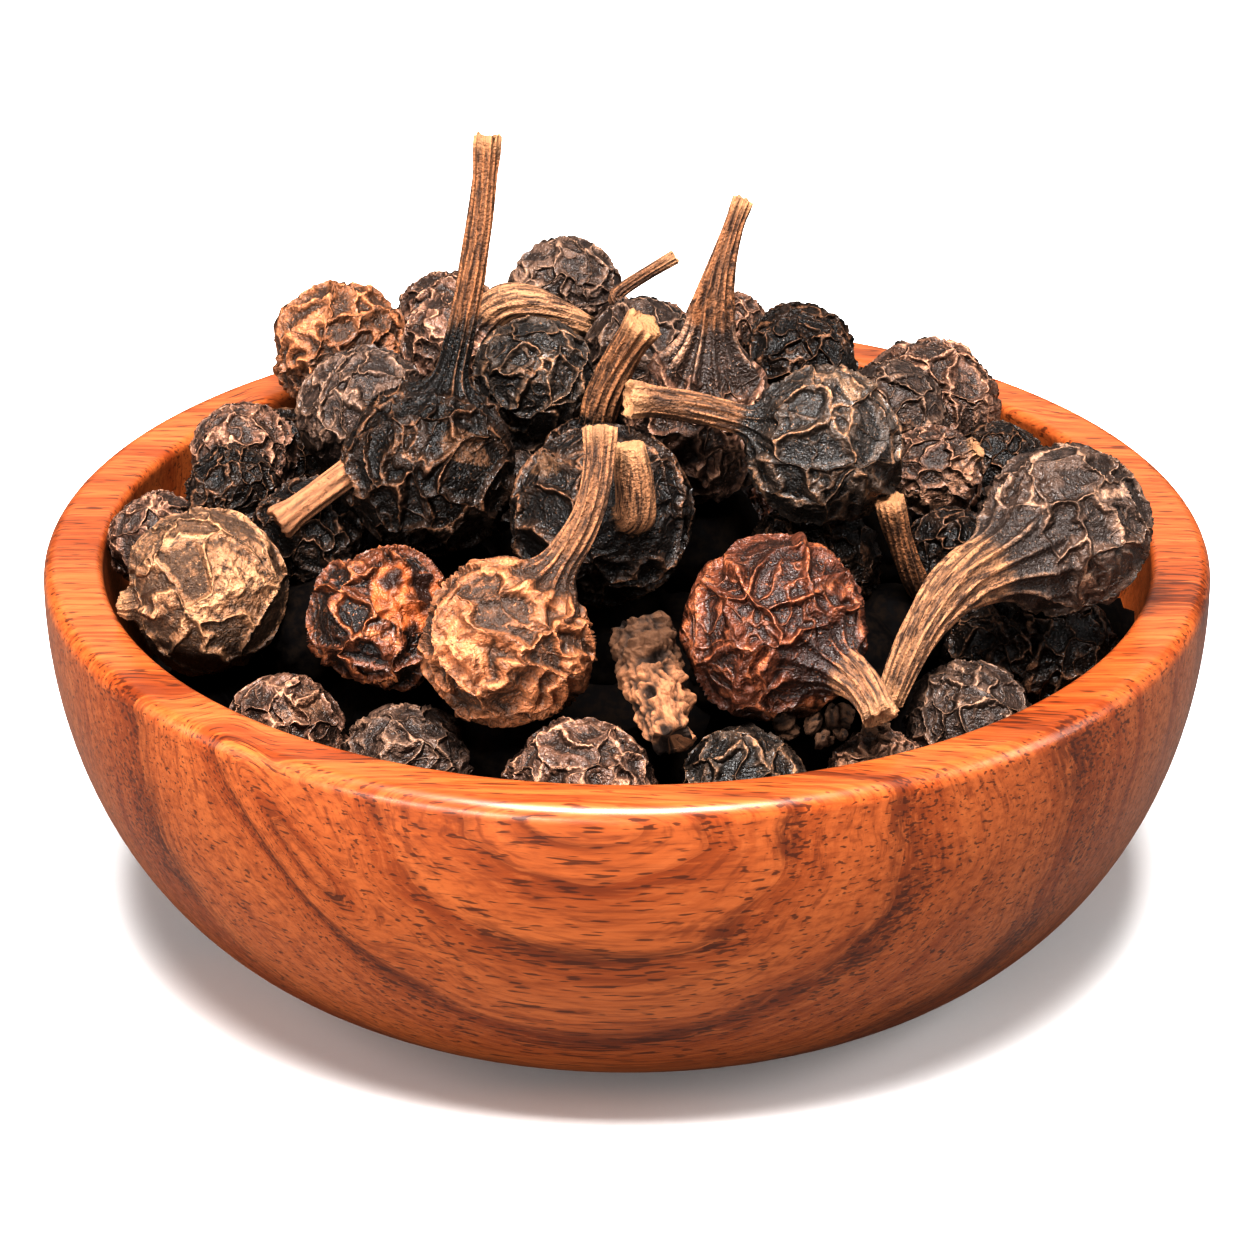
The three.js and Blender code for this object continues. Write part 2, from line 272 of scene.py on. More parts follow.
def bowl_wood():
    """Growth rings about a pith that lies along X, far behind, bent by slow noise: they cut the round
    wall in nested U shapes. The rings are counted by a logarithm of the distance, as they widen
    inwards. A ring goes from a dark line through orange to tan. Soft bands and streaks follow the
    rings by a noise of the same distance, and pores are dashes by a noise drawn out along X."""
    wood = Finish("oiled_hardwood")
    place = wood.placed(wood.seat, scale=(1000, 1000, 1000))
    x, y, z = wood.parts(place)
    from_pith = wood.placed(place, scale=(0, 1, 1), location=(0, -PITH[0], -PITH[1]))
    apart = wood.node("ShaderNodeVectorMath", operation="LENGTH")
    wood.link(from_pith, apart.inputs[0])
    slow = wood.noise(wood.placed(place, scale=(0.6, 1, 1), location=(3.0, 0, 0)), 0.10, 1, 0.55)
    wiggle = wood.noise(wood.placed(place, scale=(0.3, 1, 1)), 0.55, 1, 0.5)
    to_side = wood.graded(wood.maths("ABSOLUTE", x), 4.0, 15.0, 0.9, 5.5)
    sway = wood.times(wood.minus(slow, 0.5), to_side)
    shiver = wood.times(wood.minus(wiggle, 0.5), 0.45)
    bent = wood.plus(wood.plus(apart.outputs["Value"], sway), shiver)
    bent = wood.minus(bent, wood.times(x, LEAN))
    # The dent: a long bump across the rings, highest on its middle line.
    turned = wood.node("ShaderNodeVectorRotate", rotation_type="Y_AXIS")
    from_dent = wood.placed(place, scale=(1, 0, 1), location=(-FIGURE[0], 0, -FIGURE[1]))
    wood.link(from_dent, turned.inputs["Vector"])
    turned.inputs["Angle"].default_value = FIGURE[2]
    across, _, along = wood.parts(turned.outputs["Vector"])
    dent = wood.times(wood.graded(wood.maths("ABSOLUTE", across), 0, FIGURE_SIZE[0], 1, 0),
                      wood.graded(wood.maths("ABSOLUTE", along), 0, FIGURE_SIZE[1], 1, 0))
    bent = wood.plus(bent, wood.times(dent, FIGURE_DEPTH))

    inwards = wood.times(wood.minus(FRONT_RING, bent), RING_GROWTH)
    count = wood.maths("LOGARITHM", wood.most(wood.plus(inwards, 1.0), 0.05), RING_RATIO)
    ring = wood.maths("FRACT", count)
    blotch = wood.noise(wood.placed(place, scale=(0.5, 1, 1), location=(0, 5, 9)), 0.25, 1, 0.6)
    colour = wood.mixed(wood.graded(ring, 0.0, 0.6), (0.295, 0.070, 0.013), (0.395, 0.116, 0.030))
    bands = wood.noise(wood.vector_of(wood.times(x, 0.05), wood.times(bent, 1.25),
                                      wood.times(z, 0.10)), 1.0, 2, 0.62)
    colour = wood.mixed(wood.graded(bands, 0.50, 0.72, 0.0, 0.75), colour, (0.225, 0.043, 0.007))
    colour = wood.mixed(wood.graded(bands, 0.46, 0.30, 0.0, 0.50), colour, (0.465, 0.155, 0.044))
    strokes = wood.noise(wood.vector_of(wood.times(x, 0.12), wood.times(bent, 4.5),
                                        wood.times(z, 0.5)), 1.6, 3, 0.72)
    line = wood.plus(wood.graded(ring, 0.24, 0.0), wood.graded(ring, 0.84, 1.0))
    line = wood.times(line, wood.graded(blotch, 0.66, 0.40, 0.15, 1.0))
    line = wood.times(line, wood.graded(strokes, 0.34, 0.60, 0.30, 0.95))
    colour = wood.mixed(line, colour, (0.10, 0.022, 0.006))
    colour = wood.mixed(wood.graded(strokes, 0.50, 0.66, 0.0, 0.62), colour, (0.175, 0.037, 0.008))
    colour = wood.mixed(wood.graded(strokes, 0.46, 0.32, 0.0, 0.35), colour, (0.48, 0.166, 0.052))
    fibre = wood.noise(wood.placed(place, scale=(0.09, 1.5, 1.5)), 2.6, 3, 0.72)
    colour = wood.mixed(wood.graded(fibre, 0.45, 0.70, 0.0, 0.55), colour, (0.187, 0.039, 0.0062))
    colour = wood.mixed(wood.graded(fibre, 0.46, 0.30, 0.0, 0.40), colour, (0.49, 0.165, 0.049))
    dashes = wood.noise(wood.vector_of(wood.times(x, 0.22), wood.times(bent, 2.0),
                                       wood.times(z, 2.2)), 3.6, 1, 0.5)
    crowd = wood.times(wood.graded(ring, 0.45, 0.0, 0.0, 0.13),
                       wood.graded(blotch, 0.62, 0.40, 0.2, 1.0))
    pores = wood.graded(wood.plus(dashes, crowd), 0.61, 0.69)
    colour = wood.mixed(wood.times(pores, 0.75), colour, (0.058, 0.012, 0.004))
    wood.link(colour, wood.shader.inputs["Base Color"])
    wood.link(wood.graded(fibre, 0.3, 0.8, 0.36, 0.50), wood.shader.inputs["Roughness"])
    wood.shader.inputs["Specular IOR Level"].default_value = 0.45
    wood.shader.inputs["Coat Weight"].default_value = 0.30
    wood.shader.inputs["Coat Roughness"].default_value = 0.28
    return wood.material


inner_wall = quarter_ellipse(FLOOR_RADIUS, RIM_INNER_RADIUS, FLOOR_HEIGHT,
                             BOWL_HEIGHT - INNER_ROUNDING - INNER_LAND)
bowl_profile = np.vstack([
    np.stack([np.linspace(0.5, FOOT_RADIUS, 12)[:-1], np.zeros(11)], -1),
    quarter_ellipse(FOOT_RADIUS, BOWL_RADIUS, 0, BELLY_HEIGHT),
    rim_corner(BOWL_RADIUS - OUTER_ROUNDING, OUTER_ROUNDING, 0, np.pi / 2),
    rim_corner(RIM_INNER_RADIUS + INNER_ROUNDING, INNER_ROUNDING, np.pi / 2, np.pi),
    inner_wall[::-1],
    np.stack([np.linspace(FLOOR_RADIUS, 0.5, 10)[1:], np.full(9, FLOOR_HEIGHT)], -1),
])
bowl_skin = closed_skin(turned_rings(bowl_profile, BOWL_COLUMNS), (0, 0, 0), (0, 0, FLOOR_HEIGHT))
piece("turned_bowl", bowl_skin, bowl_wood(), "bowl_wood", "bowl")

# ---- The berries ----------------------------------------------------------------------------
# Cubebs are picked unripe and dried with their stalks on. The skin shrinks on the hard seed into
# a net of wiry ridges round sunken cells, and near the stalk the ridges run together into ribs.
GOLDEN_ANGLE = math.pi * (3 - math.sqrt(5))
WAVES = 12                       # cosines in a noise
NET_COLOURS = 6                  # enough for a net in which no two touching cells share one


def waves(points, scale, seed):
    """Smooth noise of about -1 to 1: the mean of cosines along random ways, each with its own phase."""
    rng = np.random.default_rng(seed)
    ways = rng.normal(size=(WAVES, 3)) * scale
    phases = rng.uniform(0, 2 * np.pi, WAVES)
    return np.cos(points @ ways.T + phases).mean(-1) * 2.2


def shaken(points, scale, amount, seed):
    """The points, each moved by three noises of the given size."""
    return points + amount * np.stack([waves(points, scale, seed + n) for n in (11, 12, 13)], -1)


def ridge_net(ways, cells, seed):
    """For each way from the middle of a ball: how far it is from the nearest edge between two cells,
    how strong that edge is, from 0 to 1, and how near it is to the nearest middle of each colour.
    The cells are the nearest-point regions of points on a golden spiral, each moved at random. No two
    that touch have the same colour, so the two largest of the last numbers are equal on every edge.
    """
    rng = np.random.default_rng(seed)
    k = np.arange(cells)
    height = 1 - 2 * (k + 0.5) / cells
    flat = np.sqrt(1 - height ** 2)
    middles = np.stack([flat * np.cos(GOLDEN_ANGLE * k), flat * np.sin(GOLDEN_ANGLE * k), height], -1)
    middles += rng.normal(size=middles.shape) * SCATTER / math.sqrt(cells)
    middles /= np.linalg.norm(middles, axis=1, keepdims=True)
    near = ways @ middles.T
    first = near.argmax(1)
    apart = np.sqrt(np.maximum(2 - 2 * middles @ middles.T, 1e-6))
    np.fill_diagonal(apart, 1e-9)
    gap = (near[np.arange(len(ways)), first][:, None] - near) / apart[first]
    gap[np.arange(len(ways)), first] = 9.0
    strengths = rng.uniform(0.3, 1.0, (cells, cells))
    strengths = np.maximum(strengths, strengths.T)[first]
    distance = gap.min(1)
    share = np.exp(-(gap - distance[:, None]) / 0.03)
    strength = (share * strengths).sum(1) / share.sum(1)

    touching = np.zeros((cells, cells), bool)
    touching[first, gap.argmin(1)] = True
    touching |= touching.T
    colours = np.full(cells, -1)
    for cell in np.argsort(-touching.sum(1)):
        taken = set(colours[touching[cell]])
        colours[cell] = min(range(NET_COLOURS), key=lambda c: (c in taken, c))
    nearness = np.stack([near[:, colours == c].max(1) if (colours == c).any() else 0 * distance - 1
                         for c in range(NET_COLOURS)], -1)
    return distance, strength, nearness


def unit(vector):
    vector = np.asarray(vector, float)
    return vector / np.linalg.norm(vector)


def smoothly(value, low, high):
    """0 below low, 1 above high, and 3t^2 - 2t^3 between."""
    t = np.clip((value - low) / (high - low), 0, 1)
    return t * t * (3 - 2 * t)


# How a kind of berry is wrinkled: cells on the whole ball, then as shares of the berry's radius
# the height of the ridges, half their width, how deep the cells sink, how much the ridges wander,
# the height of the finer wrinkles, and the depth of the dents.
WRINKLES = {
    "black": dict(cells=62, height=0.080, width=0.032, sink=0.045, wander=0.110, fine=0.034, dents=0.05),
    "slate": dict(cells=54, height=0.072, width=0.031, sink=0.042, wander=0.100, fine=0.026, dents=0.03),
    "umber": dict(cells=60, height=0.076, width=0.031, sink=0.042, wander=0.110, fine=0.028, dents=0.04),
    "grey": dict(cells=62, height=0.068, width=0.031, sink=0.042, wander=0.110, fine=0.028, dents=0.04),
    "brown": dict(cells=56, height=0.076, width=0.035, sink=0.048, wander=0.115, fine=0.030, dents=0.06),
    "russet": dict(cells=46, height=0.086, width=0.036, sink=0.050, wander=0.120, fine=0.028, dents=0.04),
    "orange": dict(cells=42, height=0.094, width=0.040, sink=0.070, wander=0.140, fine=0.034, dents=0.08),
    "tan": dict(cells=46, height=0.092, width=0.042, sink=0.060, wander=0.140, fine=0.038, dents=0.07),
    "straw": dict(cells=32, height=0.042, width=0.032, sink=0.026, wander=0.120, fine=0.046, dents=0.06),
}
SCATTER = 1.05                   # how far the cells' middles are moved, in cell sizes or so
RIBS = 12                        # ribs up the neck
RIB_HEIGHT = 0.075               # of the neck's own radius
LUMP = 0.032                     # slow unevenness, of the radius
GRIT = 0.010                     # quick unevenness, of the radius
STALK_STEP = 0.26                # a ring each so many mm along a stalk
RELIEF_ROOM = 0.98               # the ball under the ridges, so that they end at the berry's size
STREAK_LENGTH = 0.13             # how much slower the bark's streaks change along than across
SHOWING = (0.0, -0.8, 0.6)       # the side where the points of a ring are closest together
CROWDING = 0.42


def cubeb_profile(radius, stem, shoulder, neck):
    """Height and radius from the bottom pole up: a circle to the shoulder's angle, then a cubic
    curve that turns from the circle's own way into the stalk's."""
    a = np.linspace(0, math.radians(shoulder), 70)[1:]
    body = np.stack([-radius * np.cos(a), radius * np.sin(a)], -1)
    start, way = body[-1], np.array([math.sin(a[-1]), math.cos(a[-1])])
    end = np.array([neck * radius, stem])
    reach = np.linalg.norm(end - start)
    handles = [start, start + 0.45 * reach * way, end - np.array([0.5 * reach, 0]), end]
    t = np.linspace(0, 1, 26)[1:, None]
    shoulder_line = ((1 - t) ** 3 * handles[0] + 3 * (1 - t) ** 2 * t * handles[1]
                     + 3 * (1 - t) * t ** 2 * handles[2] + t ** 3 * handles[3])
    return np.vstack([body, shoulder_line])


def resampled(profile, rows):
    """The same line with rows points spaced evenly along it."""
    along = np.concatenate([[0], np.cumsum(np.linalg.norm(np.diff(profile, axis=0), axis=1))])
    even = np.linspace(0, along[-1], rows)
    return np.stack([np.interp(even, along, profile[:, n]) for n in range(2)], -1)


def curve(start, bend, end, steps):
    """A quadratic curve from start to end, drawn towards bend, and its direction at each step."""
    t = np.linspace(0, 1, steps)[:, None]
    line = (1 - t) ** 2 * start + 2 * (1 - t) * t * bend + t ** 2 * end
    ahead = 2 * (1 - t) * (bend - start) + 2 * t * (end - bend)
    return line, ahead / np.linalg.norm(ahead, axis=1, keepdims=True)


def berry_axis(at, way, radius, rows, stem, shoulder, neck, tip, tip_radius, taper, flare, arch):
    """For each ring its middle, the axis's direction, and its height and radius: the profile along a
    straight axis, and then the stalk, which thins by a power of its length and flares at its end."""
    profile = resampled(cubeb_profile(radius, stem, shoulder, neck), rows)
    heights, radii = profile[:, 0], profile[:, 1]
    line = at + profile[:, :1] * way
    ahead = np.repeat(way[None], rows, 0)
    if tip is None:
        return line, ahead, heights, radii
    start, end = line[-1], at + np.array(tip, float)
    reach = np.linalg.norm(end - start)
    steps = max(7, int(reach / STALK_STEP))
    stalk, stalk_ahead = curve(start, start + way * arch * reach, end, steps)
    t = np.linspace(0, 1, steps)[1:]
    stalk_radii = tip_radius + (stem - tip_radius) * (1 - t) ** taper
    stalk_radii = stalk_radii * (1 + flare * smoothly(t, 0.82, 0.97))
    climb = np.linalg.norm(np.diff(stalk, axis=0), axis=1).cumsum()
    return (np.vstack([line, stalk[1:]]), np.vstack([ahead, stalk_ahead[1:]]),
            np.concatenate([heights, heights[-1] + climb]), np.concatenate([radii, stalk_radii]))


def square_to(ahead):
    """Two unit vectors for each direction of an axis, square to it and to each other."""
    side = unit(np.cross(ahead[0], [0.31, 0.92, 0.23]))
    side = side - ahead * (ahead @ side)[:, None]
    side /= np.linalg.norm(side, axis=1, keepdims=True)
    return side, np.cross(ahead, side)


def ring_ways(a, side, other):
    """For each ring the ways out from the axis at the angles a: side cos a + other sin a."""
    return np.cos(a)[None, :, None] * side[:, None] + np.sin(a)[None, :, None] * other[:, None]


def broken_end(middle, ahead, round_ways, radius, seed):
    """Rings across a snapped stalk: ever smaller circles, each pushed in or out by a noise."""
    rings = []
    for share, depth in ((0.86, 0.05), (0.62, -0.08), (0.34, -0.2)):
        push = depth + 0.28 * waves(round_ways * share * 3.2, 1.3, seed)
        rings.append(middle + share * radius * round_ways + push[:, None] * radius * ahead)
    return np.array(rings)


def wrinkled(ways, look, seed):
    """The wrinkles for each way from a berry's middle: the distance to the nearest ridge, the ridge's
    strength, the nearness numbers of the net, the fine folds and where there are any, and the relief.

    The net is read at shaken ways, so its ridges wander. The relief is ridges that fall off as a bell
    and a tail, less the sunken cells, plus the folds where a noise passes zero, less the dents."""
    shaken_ways = shaken(ways, 2.2, 0.20, seed)
    for scale, share, step in ((8.0, 1.0, 40), (17.0, 0.26, 50), (29.0, 0.08, 55)):
        shaken_ways = shaken(shaken_ways, scale, look["wander"] * share, seed + step)
    shaken_ways /= np.linalg.norm(shaken_ways, axis=1, keepdims=True)
    distance, strength, nearness = ridge_net(shaken_ways, look["cells"], seed + 1)
    width = look["width"]
    strength = np.clip(strength * (0.9 + 0.4 * waves(ways, 5.0, seed + 2)), 0.1, 1.2)
    crest = 0.75 * np.exp(-(distance / width) ** 2) + 0.25 * np.exp(-distance / (2.2 * width))
    folds = waves(shaken(ways, 9.0, 0.10, seed + 60), 6.5, seed + 3)
    folded = smoothly(waves(ways, 2.6, seed + 4), -0.5, 0.6) * (1 - np.exp(-distance / 0.06))
    fine = np.exp(-(folds / 0.22) ** 2) * folded
    sunk = smoothly(distance, 0, 3.6 * width)
    dents = smoothly(waves(shaken(ways, 6.0, 0.08, seed + 70), 1.9, seed + 5), 0.30, 0.85)
    relief = look["height"] * strength * crest - look["sink"] * sunk
    relief += look["fine"] * fine - look["dents"] * dents
    return distance, strength, nearness, folds, folded, relief


def cubeb(kind, size, at, seed, columns, rows, cell, tip=None, aim=None, stem=None,
          shoulder=150, neck=1.3, taper=2.0, flare=0.15, ribbing=1.0, tone=None, bark=0.5,
          collar=0.28, arch=0.45, bared=0.2, scuff=None, split=None):
    """A dried cubeb as one closed skin: the ball, the neck and the stalk to its broken tip.

    Around the axis it has columns points in a ring. A point lies at the profile's height along the
    axis and at its radius from it, moved along the profile's normal by the relief of the wrinkles,
    the ribs of the neck, a quick grit and slow lumps. The neck ends neck radii above the middle, and
    the skin turns to bark from collar below that to bared above it. bark is how pale the bark is,
    tone how dark the skin, and arch how far the stalk bends. scuff is the way to a pale rubbed spot,
    and split the way to a spot where the skin is torn open.
    """
    rng = np.random.default_rng(seed)
    radius = RELIEF_ROOM * size / 2
    look = WRINKLES[kind]
    at = np.array(at, float)
    stalked = tip is not None
    way = unit(aim if aim is not None else tip if stalked else rng.normal(size=3))
    if not stalked:
        stem, neck, shoulder = (0.08 * radius, 0), 0.99, 170
    line, ahead, heights, radii = berry_axis(at, way, radius, rows, stem[0], shoulder, neck, tip,
                                             stem[1], taper, flare, arch)
    count = len(radii)
    side, other = square_to(ahead)

    facing = math.atan2(other[0] @ SHOWING, side[0] @ SHOWING)
    turn = np.linspace(0, 2 * np.pi, columns, endpoint=False)
    a = turn - CROWDING * np.sin(turn - facing)
    round_ways = ring_ways(a, side, other)
    slope = np.stack([np.gradient(heights), np.gradient(radii)], -1)
    slope /= np.linalg.norm(slope, axis=1, keepdims=True)
    normal = slope[:, 1][:, None, None] * -ahead[:, None] + slope[:, 0][:, None, None] * round_ways

    # The noises read the berry unbent and at radius 1, and the net reads ways from its middle.
    spread = lambda values: np.repeat(values[:, None], columns, 1).ravel()
    around, local, along = np.tile(a, count), spread(radii) / radius, spread(heights) / radius
    flat = np.stack([local * np.cos(around), local * np.sin(around), along], -1)
    ways = flat / np.maximum(np.linalg.norm(flat, axis=1, keepdims=True), 1e-6)
    distance, strength, nearness, folds, folded, relief = wrinkled(ways, look, seed)

    on_body = 1 - smoothly(along, 0.70, 1.10) if stalked else np.ones_like(along)
    near_neck = smoothly(along, 0.55, 0.95) if stalked else np.zeros_like(along)
    ribs = (0.5 + 0.5 * np.cos(RIBS * around + 2.4 * waves(flat, 1.1, seed + 6))) ** 3
    uneven = waves(np.c_[np.cos(around), np.sin(around), along * 0.35], 2.2, seed + 7)
    ribs = np.clip(ribs * (0.8 + 0.6 * uneven), 0, 1.2)
    grit = waves(ways, 11.0, seed + 8) + 0.6 * waves(ways, 20.0, seed + 9)
    lumps = waves(flat, 1.7, seed + 20) + 0.5 * waves(flat, 3.2, seed + 21)
    bark_ways = np.c_[4 * np.cos(around), 4 * np.sin(around), along * 3]
    lift = on_body * relief + GRIT * on_body * grit + LUMP * np.minimum(1.6 * local, 1) * lumps
    lift += near_neck * ribbing * RIB_HEIGHT * local * (ribs - 0.4) * 2.2
    lift += 0.06 * near_neck * local * waves(bark_ways, 1.3, seed + 22)

    facing_ways = lambda spot: ways @ np.array([side[0], other[0], ahead[0]]) @ unit(spot)
    scuffed, opened = np.zeros_like(along), np.zeros_like(along)
    if scuff:
        scuffed = smoothly(facing_ways(scuff) + 0.08 * waves(ways, 6.0, seed + 30), 0.88, 1.0)
    if split:
        opened = smoothly(facing_ways(split) + 0.12 * waves(ways, 5.0, seed + 31), 0.82, 0.86)
        lift += opened * (0.05 * waves(shaken(ways, 9.0, 0.08, seed + 32), 7.0, seed + 33)
                          + 0.022 * waves(ways, 15.0, seed + 34) - 0.05)
    rings = line[:, None] + radii[:, None, None] * round_ways
    rings = rings + radius * lift.reshape(count, columns, 1) * normal

    # The first ring is the bottom pole itself. A stalk gets the rings of its broken end.
    bottom = rings[0].mean(0)
    rings, kept = rings[1:], count - 1
    if stalked:
        cap = broken_end(line[-1], ahead[-1], round_ways[-1], radii[-1], seed + 23)
        rings = np.concatenate([rings, cap])
    skin = closed_skin(rings, bottom, rings[-1].mean(0), cell)

    def over(values, first, last):
        """The value at each of the skin's points, given at the rings' points before the broken end."""
        body = np.asarray(values).reshape(count, columns)[1:].ravel()
        return np.concatenate([[first], body, np.full((len(rings) - kept) * columns, last), [last]])

    def over_all(values):
        """As over, for three numbers a point, each held at both ends."""
        return np.stack([over(values[:, n], values[0, n], values[-1, n]) for n in range(3)], -1)

    whole = 1 - opened
    slopes = np.maximum(strength * (1 - distance / (3.0 * look["width"])),
                        folded * (0.5 - np.abs(folds) / 0.5))
    skin["ridge"] = over(on_body * np.maximum(slopes, -0.3) * whole, 0.2, 0)
    skin["rib"] = over((1 - on_body) * (0.5 + (ribs - 0.5) * min(ribbing, 1)), 0, 0.5)
    skin["edge"] = over(on_body * strength * whole, 0, 0)
    skin["net_a"], skin["net_b"] = over_all(nearness[:, :3]), over_all(nearness[:, 3:])
    skin["fold"] = over(folds, 1, 1)
    skin["folded"] = over(on_body * folded * whole, 0, 0)
    bare = smoothly(along, neck - collar, neck + bared) if stalked else 0.6 * smoothly(along, 0.96, 1.0)
    skin["stalk"] = over(bare, 0, bare[-1])
    height = along * radius
    skin["torn"] = over(smoothly(height, height[-1] - 0.8, height[-1]) * stalked, 0, 1.0 * stalked)
    skin["patch"] = over(waves(ways, 1.9, seed + 24) + 1.6 * scuffed, 0, 0)
    skin["split"] = over(opened, 0, 0)
    skin["tone"] = np.full(len(skin["points"]), rng.uniform() if tone is None else tone)
    skin["bark"] = np.full(len(skin["points"]), bark)
    grain = np.stack([local * np.cos(around), local * np.sin(around), along * STREAK_LENGTH], -1)
    skin["grain"] = over_all(radius * grain) + seed * 0.31
    return skin


ZIGZAG = 0.030                   # how far the thin lines along the ridges jump to and fro


def net_gap(skin, place):
    """How far a point is from an edge of the net: the largest of the six nearness numbers less the
    second largest. Three quick noises, added to three numbers and taken from the others, make the
    edges run in zigzags."""
    numbers = []
    shake = skin.noise(place, 2.4, 1, 0.6, output="Color")
    for name, amount in (("net_a", ZIGZAG), ("net_b", -ZIGZAG)):
        moved = skin.node("ShaderNodeVectorMath", operation="MULTIPLY_ADD")
        skin.link(shake, moved.inputs[0])
        moved.inputs[1].default_value = (amount, amount, amount)
        skin.link(skin.attribute(name, "Vector"), moved.inputs[2])
        numbers += skin.parts(moved.outputs[0])
    first = skin.most(numbers[0], numbers[1])
    second = skin.least(numbers[0], numbers[1])
    for number in numbers[2:]:
        second = skin.most(second, skin.least(first, number))
        first = skin.most(first, number)
    return skin.minus(first, second)


def cubeb_finish(name, hollow, slope, crest, patch_colour, patch_from, rough=0.5, dust_and_sheen=0.0, thread=0.011,
                 mottle=0.5, gloss=0.6, pitting=1.0):
    """Skin from sunken cell to slope by the point's share of the ridge, with painted shade at the foot
    beside each ridge and a thin pale thread along its crest, where the net's gap is small. Then come
    stains and paler patches by slow noises, specks, orange flakes where it is split, and on the stalk a
    bark that is streaked along its length, with painted shade in the grooves between its ribs, and pale at
    the break. The bump is a round cord along each crest, the folds, and pits as deep as pitting says."""
    skin = Finish(name)
    place = skin.placed(skin.seat, scale=(1000, 1000, 1000))
    grain = skin.noise(place, 5.5, 3, 0.70)
    speck = skin.noise(place, 9.5, 1, 0.6)
    uneven = skin.times(skin.minus(grain, 0.5), 0.4)
    # deep is the hollow colour darkened: it paints the shade at the ridges' feet, and it is also the
    # skin's darker tone, stains and dark specks.
    deep = tuple(c * 0.35 for c in hollow)
    gap = skin.plus(net_gap(skin, place), skin.times(uneven, thread))
    cord = skin.times(skin.graded(gap, 2.8 * thread, 0.9 * thread),
                      skin.graded(skin.attribute("edge"), 0.15, 0.50))
    ridge = skin.plus(skin.attribute("ridge"), uneven)
    flank = skin.most(skin.graded(ridge, 0.16, 0.60, 0.0, 0.85), cord)
    # Painted shade: a dark band on the cell floor at the foot of each ridge, where shade falls beside it.
    painted_foot_shade = skin.times(skin.graded(ridge, -0.26, -0.04), skin.graded(ridge, 0.30, 0.08))
    ground = skin.mixed(skin.graded(skin.plus(grain, skin.times(speck, 0.3)), 0.66, 0.78, 0.0, 0.6),
                        hollow, slope)
    colour = skin.mixed(skin.times(painted_foot_shade, 0.85), ground, deep)
    colour = skin.mixed(flank, colour, slope)
    colour = skin.mixed(skin.graded(skin.attribute("tone"), 0, 1, 0.0, 0.45), colour, deep)
    stain = skin.noise(place, 2.6, 3, 0.7)
    colour = skin.mixed(skin.graded(stain, 0.52, 0.36, 0.0, mottle), colour, deep)
    colour = skin.mixed(skin.graded(stain, 0.54, 0.70, 0.0, 0.6 * mottle), colour, slope)
    patch = skin.graded(skin.plus(skin.attribute("patch"), skin.times(grain, 0.5)),
                        patch_from, patch_from + 0.5)
    patch = skin.times(patch, skin.graded(grain, 0.40, 0.56, 0.25, 0.8))
    colour = skin.mixed(patch, colour, patch_colour)
    # Grey patches by a slow noise: partly dust, partly a painted grey sheen like the glancing reflection
    # on the dark skins.
    if dust_and_sheen:
        grey = skin.graded(skin.noise(place, 0.8, 1, 0.6), 0.45, 0.7, 0.0, dust_and_sheen)
        colour = skin.mixed(grey, colour, (0.056, 0.049, 0.044))

    thread_share = skin.times(skin.graded(gap, thread, thread * 0.2),
                              skin.graded(skin.attribute("edge"), 0.22, 0.60))
    fold = skin.times(skin.graded(skin.maths("ABSOLUTE", skin.attribute("fold")), 0.13, 0.02),
                      skin.attribute("folded"))
    rib = skin.graded(skin.plus(skin.attribute("rib"), uneven), 0.50, 0.90, 0.0, 0.75)
    bright = skin.most(skin.most(thread_share, rib), skin.times(fold, 0.45))
    worn = skin.graded(skin.plus(stain, uneven), 0.38, 0.60, 0.22, 1.0)
    colour = skin.mixed(skin.times(bright, worn), colour, crest)
    colour = skin.mixed(skin.graded(speck, 0.66, 0.74, 0.0, 0.60), colour, crest)
    colour = skin.mixed(skin.graded(speck, 0.40, 0.30, 0.0, 0.6), colour, deep)
    layer = skin.plus(skin.maths("ABSOLUTE", skin.attribute("fold")), uneven)
    flakes = skin.mixed(skin.graded(layer, 0.70, 0.05), (0.030, 0.010, 0.005), (0.42, 0.135, 0.044))
    colour = skin.mixed(skin.attribute("split"), colour, flakes)

    along = skin.attribute("grain", "Vector")
    streak = skin.noise(along, 7.5, 3, 0.68)
    bark_light = skin.mixed(skin.attribute("bark"), (0.27, 0.112, 0.045), (0.38, 0.205, 0.110))
    bark = skin.mixed(skin.graded(streak, 0.36, 0.58, 1.0, 0.0), bark_light, (0.050, 0.022, 0.011))
    # Painted shade: the bark darkens in the grooves between the ribs.
    painted_groove_shade = skin.graded(skin.attribute("rib"), 0.30, 0.0, 0.0, 0.5)
    bark = skin.mixed(painted_groove_shade, bark, (0.050, 0.023, 0.012))
    bark = skin.mixed(skin.graded(speck, 0.58, 0.68, 0.0, 0.55), bark, (0.030, 0.014, 0.008))
    bark = skin.mixed(skin.times(skin.attribute("torn"), 0.5), bark, (0.48, 0.27, 0.14))
    on_stalk = skin.graded(skin.plus(skin.attribute("stalk"),
                                     skin.times(skin.minus(streak, 0.5), 0.8)), 0.25, 0.75)
    colour = skin.mixed(on_stalk, colour, bark)
    skin.link(colour, skin.shader.inputs["Base Color"])
    skin.link(skin.plus(skin.graded(grain, 0.3, 0.7, rough - 0.06, rough + 0.14),
                        skin.times(on_stalk, 0.35)), skin.shader.inputs["Roughness"])
    skin.shader.inputs["Specular IOR Level"].default_value = gloss
    round_cord = skin.times(skin.graded(gap, 3.2 * thread, 0.0),
                            skin.graded(skin.attribute("edge"), 0.12, 0.50))
    raised = skin.plus(round_cord, skin.times(fold, 0.4))
    pits = skin.plus(skin.times(grain, 0.41 * pitting), skin.times(speck, 0.33))
    skin.link(skin.bump(skin.plus(raised, pits), 1.0, 0.00022), skin.shader.inputs["Normal"])
    return skin.material


